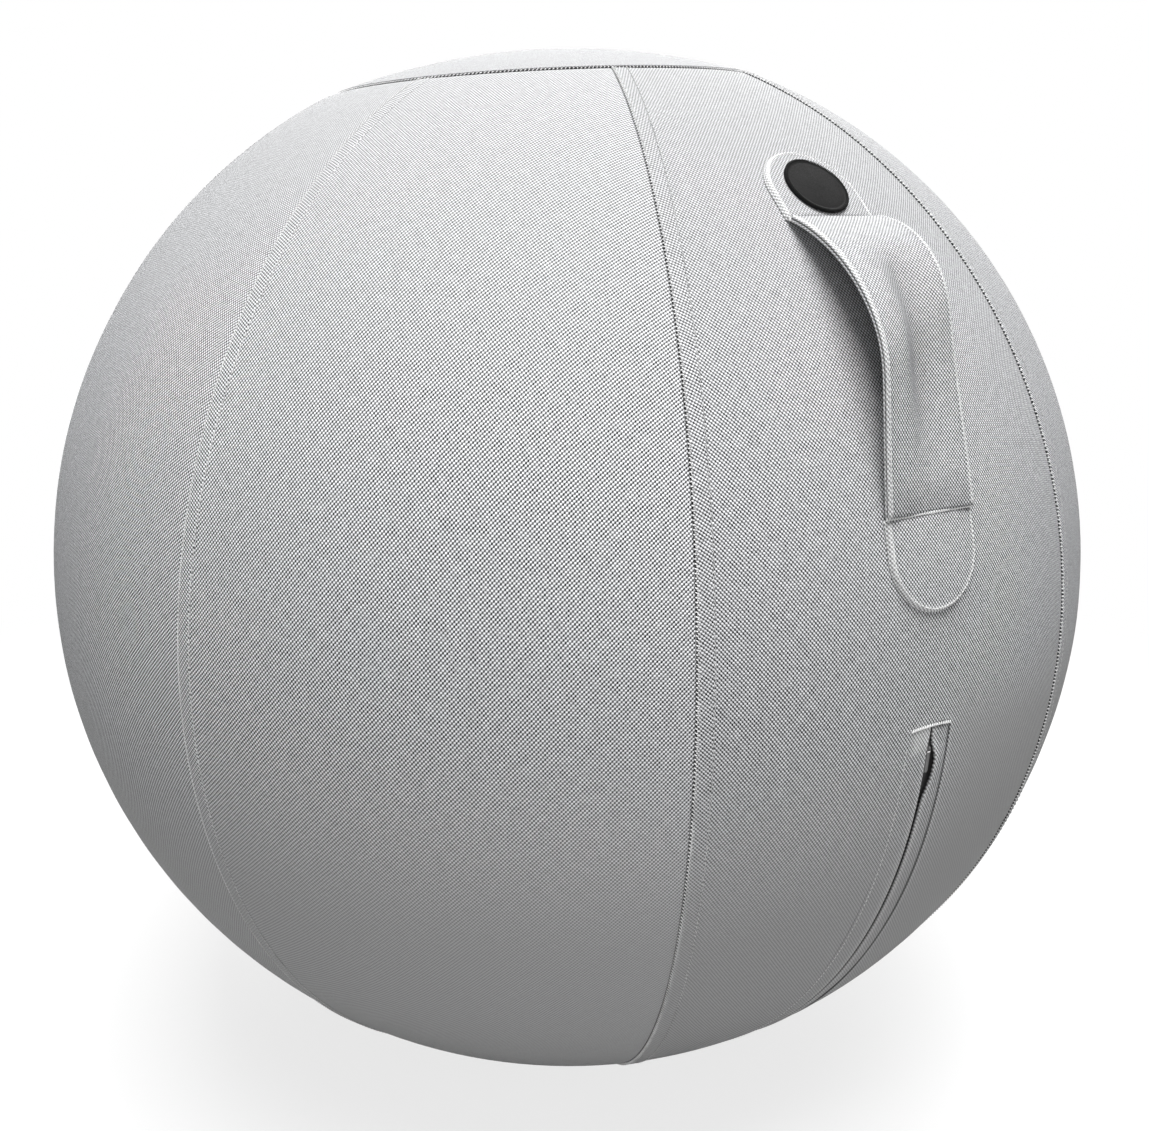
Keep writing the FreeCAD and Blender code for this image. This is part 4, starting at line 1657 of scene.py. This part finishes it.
    def end_piece(self, end: End) -> None:
        """Makes one sewn end of the strap.

        Args:
            end: which end.
        """
        tip = self.half * np.sin(np.radians(self.TIP_TURNS))
        along = np.concatenate([np.linspace(0.0, self.end_straight, 7)[:-1], self.end_straight + tip])
        turns = np.concatenate([-self.SIDE_TURNS[::-1], self.MIDDLE_TURNS, self.SIDE_TURNS])
        reach = np.sqrt(self.half ** 2 - np.maximum(along - self.end_straight, 0.0) ** 2)
        across = reach[:, None] * np.sin(np.radians(turns))[None]
        along = np.broadcast_to(along[:, None], across.shape)
        inward = np.maximum(self.end_outline(across, along), 0.0)
        height, crease, worn = (table_value(self.END_EDGE, field, inward) for field in EDGE_FIELDS)
        points = self.on_end(end, across, along, height * MM)
        beyond = np.maximum(along - self.end_straight, 0.0)
        spread = self.rim_slack(inward) * MM / np.maximum(np.hypot(across, beyond), MM)
        flat = self.turned(across * (1.0 + spread) / MM, end.value * (along + beyond * spread) / MM)
        # Painted shade on the sewn end beside its bar.
        bar_shade = self.end_bar_shade * (1.0 - smooth(0.0, self.end_bar_reach, along / MM))
        thickness = np.minimum(height * MM, self.end_thickness) + self.end_edge_thickness
        made = ClothGrid(points, flat, np.maximum(crease, bar_shade), worn, thickness)
        if end is End.LOWER:
            made = made.flipped()
        node = f"strap_{end.name.lower()}_end"
        piece = made.build(f"{node}_cloth", self.end_seed + self.weave_step * end.value)
        place(piece, Body.COVER, self.finishes.strap, Slot.STRAP, node)

    def end_row(self, end: End) -> Line:
        """Line of the stitches in the rim round a sewn end.

        Args:
            end: which end.

        Returns:
            Its points and the outward unit vectors there.
        """
        over, from_bar = 2.33 * MM, 1.0 * MM
        reach = self.half - self.rim_inset
        angle = np.radians(np.linspace(0.0, 180.0, 60))
        sides = np.linspace(from_bar, self.end_straight, 10)[:-1]
        right = np.full(len(sides), reach)
        across = np.concatenate([right, reach * np.cos(angle), -right])
        along = np.concatenate([sides, self.end_straight + reach * np.sin(angle), sides[::-1]])
        points = self.on_end(end, across, along, over)
        return points, self.ball.outward(points)

    def bar(self, end: End) -> Piece:
        """Makes the close slanting stitches of the bar between a sewn end and the loop.

        Args:
            end: which end.

        Returns:
            One object with all the stitches.
        """
        spacing, length, over, inset, slant = 1.6 * MM, 2.5 * MM, 2.2 * MM, 0.4 * MM, 1.1
        count = round(self.width / spacing)
        across = np.linspace(inset - self.half, self.half - inset, count)
        middles = self.on_end(end, across, np.full(count, -inset), over)
        outs = self.ball.outward(middles)
        alongs = unit(np.cross(outs, RIGHT) + slant * RIGHT)
        name = f"strap_{end.name.lower()}_bar_stitches"
        return self.BAR_THREAD.laid(name, middles, alongs, outs, np.full(count, length))

    def build(self) -> None:
        """Makes and dresses every piece of the strap."""
        for outer in (False, True):
            self.loop_ply(outer)
        for end in End:
            self.end_piece(end)
            name = f"strap_{end.name.lower()}_end_stitches"
            for rows in (self.EDGE_THREAD.stitches(name, [self.end_row(end)]), self.bar(end)):
                place(rows, Body.COVER, self.finishes.thread)
        edges = self.EDGE_THREAD.stitches("strap_loop_stitches", self.edge_rows())
        self.give_way(edges)
        dress(edges, self.finishes.thread)


@dataclass
class Badge:
    """Round badge on the strap's upper end. The section's radii and heights are in millimetres."""

    ball: BallForm
    finishes: Finishes
    latitude: float = 46.5
    lift: float = 0.0023
    thickness: float = 0.0002
    columns: int = 96
    weave_seed: float = 900.0

    EDGE_THREAD = Thread(radius=0.0003, arch=0.0002, slant=0.25, seed=41)
    SECTION = (
        (17.60, 0.05), (17.80, 0.35), (17.80, 0.95), (17.65, 1.30), (17.30, 1.52), (16.80, 1.60),
        (16.20, 1.60), (15.85, 1.50), (15.65, 1.38), (15.40, 1.36), (14.90, 1.42), (13.40, 1.50),
        (10.60, 1.56), (7.00, 1.60), (3.00, 1.62), (0.30, 1.62),
    )

    def on_badge(self, across: Array, up: Array, height: Array) -> Array:
        """Points across and up from the badge's middle and above its seat, in metres."""
        return self.ball.beside_front(across, self.latitude + self.ball.degrees(up), self.lift + height)

    def edge_stitches(self) -> None:
        """Makes the close dark stitches over the badge's edge."""
        count, ring, length, over, farther = 132, 17.1 * MM, 1.9 * MM, 1.62 * MM, 1.1
        turn = full_turn(count)
        across, up = ring * np.cos(turn), ring * np.sin(turn)
        middles = self.on_badge(across, up, over)
        alongs = unit(self.on_badge(farther * across, farther * up, over) - middles)
        outs, lengths = self.ball.outward(middles), np.full(count, length)
        piece = self.EDGE_THREAD.laid("badge_edge_stitches", middles, alongs, outs, lengths)
        place(piece, Body.COVER, self.finishes.badge)

    def build(self) -> None:
        """Makes and dresses the badge."""
        radius, height = (np.array(part)[:, None] * MM for part in zip(*self.SECTION))
        turn = full_turn(self.columns)
        across, up = radius * np.cos(turn), radius * np.sin(turn)
        points = self.on_badge(across, up, height)
        flat = np.stack([across / MM, up / MM], axis=-1)
        blank = 0.0 * across
        made = ClothGrid(points, flat, blank, blank, blank + self.thickness, ring=True, pole=len(radius) - 1)
        piece = made.build("badge_disc", self.weave_seed)
        self.edge_stitches()
        place(piece, Body.COVER, self.finishes.badge, Slot.BADGE, "badge")


@dataclass
class Zip:
    """Concealed zip: two lips over tapes and coil, with a slider and its pull.

    Widths and heights are in millimetres, and places down the front are latitudes. LIPS gives each lip's
    height at its seam, its height beside its fold and the painted shade of its seam.
    """

    ball: BallForm
    finishes: Finishes
    panel: ZipPanel
    rows: int = 150
    lip_below: float = 0.3
    lip_above: float = 0.25
    lip_overlap: float = 1.8
    lip_underside: float = -1.45
    coil_inner: float = 0.7
    coil_outer: float = 3.0
    coil_top: float = 2.8
    coil_bottom: float = 5.2
    coil_pitch: float = 1.3
    filament: float = 0.34
    chain_top: float = -2.81
    chain_bottom: float = -57.0
    open_half: float = 1.4
    gape_width: float = 1.9
    gape_rise: float = 1.6
    gape_share: float = 0.8
    gape_from: Span = (-3.5, -5.2)
    gape_to: Span = (-10.0, -6.2)
    bar_from: Span = (-14.0, -13.0)
    bar_shade: float = 0.75
    bar_shade_from: Span = (-0.42, -0.22)
    tacked: float = 0.7
    tacked_from: Span = (-4.7, -3.9)
    rounding: float = 0.12

    LIPS = {Side.LEFT: (-0.03, 0.0, 0.0), Side.RIGHT: (-0.55, 0.4, 0.8)}
    SLIT = (
        (-60.0, 0.65), (-40.0, 0.72), (-24.0, 0.80), (-14.0, 0.90), (-10.0, 1.05), (-8.0, 1.20),
        (-4.2, 1.30), (-3.6, 1.08), (-3.2, 0.65), (-2.1, 0.30),
    )
    WINDOW_THREAD = Thread(radius=0.00013, pitch=0.0031, share=0.6, seed=31)
    BAR_THREAD = Thread(radius=0.00038, arch=0.0003, seed=37)
    PULL_THREAD = Thread(radius=0.0002, arch=0.0001, seed=43)

    def slit_half(self, latitude: Array) -> Array:
        """Half width of the slit between the lips, in millimetres."""
        return np.interp(latitude, *zip(*self.SLIT))

    def gape(self, latitude: Array) -> Array:
        """Share by which the right lip stands open over the slider and its pull."""
        return smooth(*self.gape_from, latitude) * smooth(*self.gape_to, latitude)

    def lip_section(self, side: Side, slit: Array, outer: float) -> tuple[Array, Array, Array, Array]:
        """Section of a lip in each row, from its fold over its outer face and back underneath.

        Args:
            side: which lip.
            slit: distance of the fold from the front's middle in each row, rows by 1.
            outer: distance of the lip's seam from the front's middle.

        Returns:
            Distances from the front's middle, rows by points, and each point's height, painted shade, and
            lightening by wear and painted highlight.
        """
        low, puff, seam_shade = self.LIPS[side]
        # In these points the third field is painted shade under the fold, at the seam and on the hidden back,
        # and the fourth lightens the fold by wear and by painted highlight.
        fold = [EdgePoint(0.0, -0.95, 1.0), EdgePoint(0.10, -0.45, 0.7, 0.1),
                EdgePoint(0.45, 0.6 * puff, 0.1, 0.45), EdgePoint(1.1, puff, 0.0, 0.3)]
        face = [EdgePoint(0.3, puff), EdgePoint(0.6, 0.7 * puff), EdgePoint(0.85, 0.5 * low)]
        seam = [EdgePoint(0.0, low, seam_shade), EdgePoint(self.lip_overlap, low - 0.15, 1.0),
                EdgePoint(self.lip_overlap, self.lip_underside, 1.0)]
        back = [EdgePoint(2.5, self.lip_underside, 1.0), EdgePoint(0.2, self.lip_underside + 0.05, 1.0)]
        across = [slit + section_field(fold, "across"),
                  slit + (outer - slit) * section_field(face, "across"),
                  outer + section_field(seam, "across") + 0.0 * slit,
                  slit + section_field(back, "across")]
        points = (*fold, *face, *seam, *back)
        height, crease, worn = (section_field(points, field)[None] for field in EDGE_FIELDS)
        return np.concatenate(across, axis=1), height, crease, worn

    def lip(self, side: Side) -> None:
        """Makes one folded lip over the zip.

        Args:
            side: which lip.
        """
        start, stop = self.panel.window_bottom - self.lip_below, self.panel.window_top + self.lip_above
        latitude = np.linspace(start, stop, self.rows)[:, None]
        outer = self.panel.window_right if side is Side.RIGHT else -self.panel.window_left
        open_share = self.gape(latitude) * (1.0 if side is Side.RIGHT else 0.0)
        slit = self.slit_half(latitude) + self.gape_width * open_share
        from_middle, height, crease, worn = self.lip_section(side, slit, outer)
        raised = 1.0 - smooth(0.0, self.gape_share * outer, from_middle - slit)
        height = height + self.gape_rise * open_share * raised
        across = from_middle * side.value
        beside_bar = smooth(*self.bar_from, across)
        worn = worn + 0.0 * across
        if side is Side.LEFT:
            tacked = self.tacked * smooth(*self.tacked_from, latitude) * beside_bar
            worn = np.maximum(worn, tacked * (crease == 0.0))
        # Painted shade on the lips just below the bar over the slit's top.
        below_bar = smooth(*self.bar_shade_from, latitude - self.panel.window_top)
        crease = np.maximum(crease, self.bar_shade * below_bar * beside_bar)
        points = self.ball.beside_front(across * MM, latitude, height * MM)
        facing = self.ball.outward(points)
        azimuth = np.degrees(np.arctan2(facing[..., 1], facing[..., 0]))
        off_hem = np.full(across.shape, math.inf)
        flat = self.panel.flat_cloth(azimuth, np.degrees(np.arcsin(facing[..., 2])), off_hem)
        rings = [part[:, ::side.value] for part in (points, flat, crease, worn)]
        name = f"zip_lip_{side.name.lower()}"
        piece = swept_piece(f"{name}_cloth", *rings, 0.0)
        place(piece, Body.COVER, self.finishes.cover, Slot.COVER, name)
        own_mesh(piece)

    def coil(self, side: Side) -> None:
        """Makes one row of the coil, wound from one filament.

        Args:
            side: which row.
        """
        sides, per_turn = 6, 10
        degree = math.radians(1.0) * (self.ball.radius / MM - self.coil_top)
        length = self.chain_top - self.chain_bottom
        turns = round(length * degree / self.coil_pitch)
        wind = np.arange(turns * per_turn + 1) / per_turn
        angle = 2.0 * math.pi * wind
        middle, depth = (self.coil_inner + self.coil_outer) / 2.0, (self.coil_top + self.coil_bottom) / 2.0
        reach_across = (self.coil_outer - self.coil_inner) / 2.0 - self.filament
        reach_depth = (self.coil_bottom - self.coil_top) / 2.0 - self.filament
        across = side.value * (middle + reach_across * np.cos(angle))
        height = -(depth + reach_depth * np.sin(angle))
        latitude = self.chain_bottom + length * wind / wind[-1]
        line = self.ball.beside_front(across * MM, latitude, height * MM)
        tangent = unit(np.gradient(line, axis=0))
        lengthwise = unit(np.gradient(self.ball.beside_front(0.0 * across, latitude, 0.0), axis=0))
        first = unit(np.cross(tangent, lengthwise))
        second = np.cross(tangent, first)
        around = full_turn(sides)[None, :, None]
        rings = first[:, None] * np.cos(around) + second[:, None] * np.sin(around)
        rings = line[:, None] + self.filament * MM * rings
        blank = np.zeros(rings.shape[:2])
        name = f"zip_coil_{side.name.lower()}"
        piece = swept_piece(f"{name}_filament", rings, np.zeros((*blank.shape, 2)), blank, blank, 0.0)
        place(piece, Body.COVER, self.finishes.coil, Slot.COIL, name)

    def window_row(self) -> Line:
        """Line of the stitches that hold the left lip to the panel.

        Returns:
            Its points and the outward unit vectors there.
        """
        below_bar, inset, count = 1.6, 1.2, 240
        latitude = np.linspace(self.panel.window_bottom, self.panel.window_top - below_bar, count)
        points = self.ball.beside_front((self.panel.window_left + inset) * MM, latitude, 0.0)
        return points, self.ball.outward(points)

    def top_bar(self) -> None:
        """Makes the slanting stitches of the bar over the slit's upper end, which droops to both sides."""
        count, length, slant, over = 17, 1.9 * MM, 0.7, 0.3 * MM
        left_inset, right_inset, above, droop = 3.5, 0.9, 0.1, 0.2
        start, stop = self.panel.window_left + left_inset, self.panel.window_right - right_inset
        across = np.linspace(start, stop, count) * MM
        aside = np.linspace(-0.8, 0.9, count)
        latitude = self.panel.window_top + above - droop * aside ** 2
        middles = self.ball.beside_front(across, latitude, over)
        outs = self.ball.outward(middles)
        alongs = unit(np.cross(outs, RIGHT) + slant * RIGHT)
        lengths = np.full(count, length)
        piece = self.BAR_THREAD.laid("zip_top_bar_stitches", middles, alongs, outs, lengths)
        place(piece, Body.COVER, self.finishes.thread)

    def pull_thread(self) -> None:
        """Makes the light thread across the root of the pull's tongue, which turns with the pull."""
        turns, spacing, length, from_pin, below = 2, 0.3 * MM, 2.1 * MM, 1.6 * MM, 0.1 * MM
        _, behind, above = np.array(joint_place("pull_flip")) - np.array(self.ball.centre)
        pin = math.degrees(math.atan2(above, -behind))
        latitude = pin - self.ball.degrees(from_pin + spacing * np.arange(turns))
        middles = self.ball.beside_front(0.0, latitude, -below)
        outs, alongs = self.ball.outward(middles), np.tile(RIGHT, (turns, 1))
        piece = self.PULL_THREAD.laid("zip_pull_thread", middles, alongs, outs, np.full(turns, length))
        place(piece, Body.PULL, self.finishes.thread)

    def cast(self, node: str) -> None:
        """Dresses a metal piece of the frame and rounds its edges.

        Args:
            node: name of the piece.
        """
        finish_node(node, self.finishes.metal)
        bevel = frame["nodes"][node].modifiers.new("rounded_edges", "BEVEL")
        bevel.width = self.rounding * MM
        bevel.segments = 2
        bevel.limit_method = "ANGLE"

    def build(self) -> None:
        """Makes and dresses every piece of the zip."""
        for side in Side:
            self.lip(side)
            self.coil(side)
        rows = self.WINDOW_THREAD.stitches("zip_window_stitches", [self.window_row()])
        place(rows, Body.COVER, self.finishes.thread)
        self.top_bar()
        self.pull_thread()
        for node in ("zip_tape_left", "zip_tape_right"):
            finish_node(node, self.finishes.tape)
        for node in ("zip_top_stops", "zip_bottom_stop", "zip_slider", "zip_pull"):
            self.cast(node)


@dataclass
class Inside:
    """Bladder and valve plug, which the cover hides."""

    finishes: Finishes

    def build(self) -> None:
        """Dresses the two pieces of the frame."""
        finish_node("bladder", self.finishes.vinyl)
        finish_node("valve_plug", self.finishes.plastic)


@dataclass
class Studio:
    """Pale floor, soft light from above and the camera of the photograph.

    The ball's place in the image is in pixels, angles are in degrees and lengths in metres.
    """

    ball: BallForm
    image_width: int = 1149
    focal_pixels: float = 1293.8
    ball_left_of_middle: float = 7.4
    ball_above_middle: float = 13.1
    distance: float = 0.8804
    azimuth: float = -32.65
    elevation: float = 15.02
    roll: float = 0.22
    sensor: float = 36.0
    ambient: float = 0.05
    floor_half: float = 9.0
    floor_white: float = 0.9
    floor_roughness: float = 0.9
    floor_bounce: float = 0.38
    floor_shown: float = 0.22
    floor_shown_to: Span = (0.35, 1.1)

    LIGHTS = (
        Softbox("key_softbox", power=760.0, size=4.2, distance=6.0, azimuth=-17.0, elevation=78.7),
        Softbox("fill_softbox", power=1.2, size=0.5, distance=1.0, azimuth=-27.0, elevation=12.0),
        Softbox("back_softbox", power=280.0, size=4.2, distance=6.0, azimuth=140.0, elevation=30.0),
    )

    def towards(self, azimuth: float, elevation: float) -> Vector:
        """Unit vector from the ball towards a place round it, from its front to the right and up."""
        turn, rise = math.radians(azimuth), math.radians(elevation)
        return Vector((math.sin(turn) * math.cos(rise), -math.cos(turn) * math.cos(rise), math.sin(rise)))

    def camera(self) -> None:
        """Sets the camera so that the ball lies in the image as in the photograph."""
        data = bpy.data.cameras.new("camera")
        data.sensor_fit = "HORIZONTAL"
        data.sensor_width = self.sensor
        data.lens = self.focal_pixels * self.sensor / self.image_width
        data.shift_x = self.ball_left_of_middle / self.image_width
        data.shift_y = -self.ball_above_middle / self.image_width
        back = self.towards(self.azimuth, self.elevation)
        camera = bpy.data.objects.new("camera", data)
        aim = (-back).to_track_quat("-Z", "Y").to_matrix()
        spin = Matrix.Rotation(math.radians(self.roll), 3, "Z")
        camera.matrix_world = (aim @ spin).to_4x4()
        camera.location = Vector(self.ball.centre) + back * self.distance
        bpy.context.scene.collection.objects.link(camera)
        bpy.context.scene.camera = camera

    def floor(self) -> None:
        """Lays a white floor that keeps the ball's shadow."""
        low, high = -self.floor_half, self.floor_half
        corners = [(low, low, 0.0), (high, low, 0.0), (high, high, 0.0), (low, high, 0.0)]
        mesh = bpy.data.meshes.new("floor")
        mesh.from_pydata(corners, [], [(0, 1, 2, 3)])
        plane = bpy.data.objects.new("floor", mesh)
        bpy.context.scene.collection.objects.link(plane)
        give(plane, self.floor_material())

    def floor_material(self) -> Material:
        """Makes the floor's material, which is plain white away from the ball.

        Returns:
            The new material.
        """
        material, graph, shader = new_material("floor_white")
        white = graph.node("ShaderNodeEmission")
        length = graph.node("ShaderNodeVectorMath", graph.place(), operation="LENGTH").outputs["Value"]
        near = graph.step(length, *self.floor_shown_to, self.floor_shown, 0.0)
        shown = self.shown_ray(graph)
        tone = graph.grey(graph.step(shown, 0.0, 1.0, self.floor_bounce, self.floor_white))
        graph.fill(shader, Base_Color=tone, Roughness=self.floor_roughness, Specular_IOR_Level=0.0)
        share = graph.math("MAXIMUM", graph.math("SUBTRACT", 1.0, shown), near)
        mixed = graph.node("ShaderNodeMixShader", share, white.outputs[0], shader.outputs[0])
        output = next(node for node in graph.tree.nodes if node.type == "OUTPUT_MATERIAL")
        graph.fill(output, Surface=mixed.outputs[0])
        return material

    def shown_ray(self, graph: Graph) -> Socket:
        """Mask of the rays that see the background: the camera's, and mirrored or clear ones.

        Args:
            graph: nodes of the material or the world.

        Returns:
            The mask, 0 or 1.
        """
        path = graph.node("ShaderNodeLightPath").outputs
        seen = graph.math("MAXIMUM", path["Is Camera Ray"], path["Is Glossy Ray"])
        return graph.math("MAXIMUM", seen, path["Is Transmission Ray"])

    def world(self) -> None:
        """Makes the white background and the even light from all round."""
        world = bpy.data.worlds.new("studio")
        world.use_nodes = True
        graph = Graph(world.node_tree)
        strength = graph.step(self.shown_ray(graph), 0.0, 1.0, self.ambient, 1.0)
        background = graph.node("ShaderNodeBackground", grey_colour(1.0), strength)
        graph.fill(graph.node("ShaderNodeOutputWorld"), Surface=background.outputs[0])
        bpy.context.scene.world = world

    def hang(self, light: Softbox) -> None:
        """Hangs a soft light.

        Args:
            light: the light.
        """
        data = bpy.data.lights.new(light.name, "AREA")
        data.energy = light.power
        data.size = light.size
        lamp = bpy.data.objects.new(light.name, data)
        back = self.towards(light.azimuth, light.elevation)
        lamp.location = Vector(self.ball.centre) + back * light.distance
        lamp.rotation_euler = (-back).to_track_quat("-Z", "Y").to_euler()
        lamp.visible_camera = False
        bpy.context.scene.collection.objects.link(lamp)

    def build(self) -> None:
        """Sets up the camera, the floor, the background and the light."""
        self.camera()
        self.floor()
        self.world()
        for light in self.LIGHTS:
            self.hang(light)
        bpy.context.scene.view_settings.view_transform = "Standard"


def main() -> None:
    """Builds and dresses the whole ball."""
    logging.basicConfig(level=logging.INFO, format="%(message)s")
    ball = BallForm(joint_place("zip_travel"))
    finishes = Finishes()
    cover = Cover(ball, finishes)
    cover.build()
    Strap(ball, finishes).build()
    Badge(ball, finishes).build()
    Zip(ball, finishes, cover.zip_panel).build()
    Inside(finishes).build()
    Studio(ball).build()


if __name__ == "__main__":
    main()
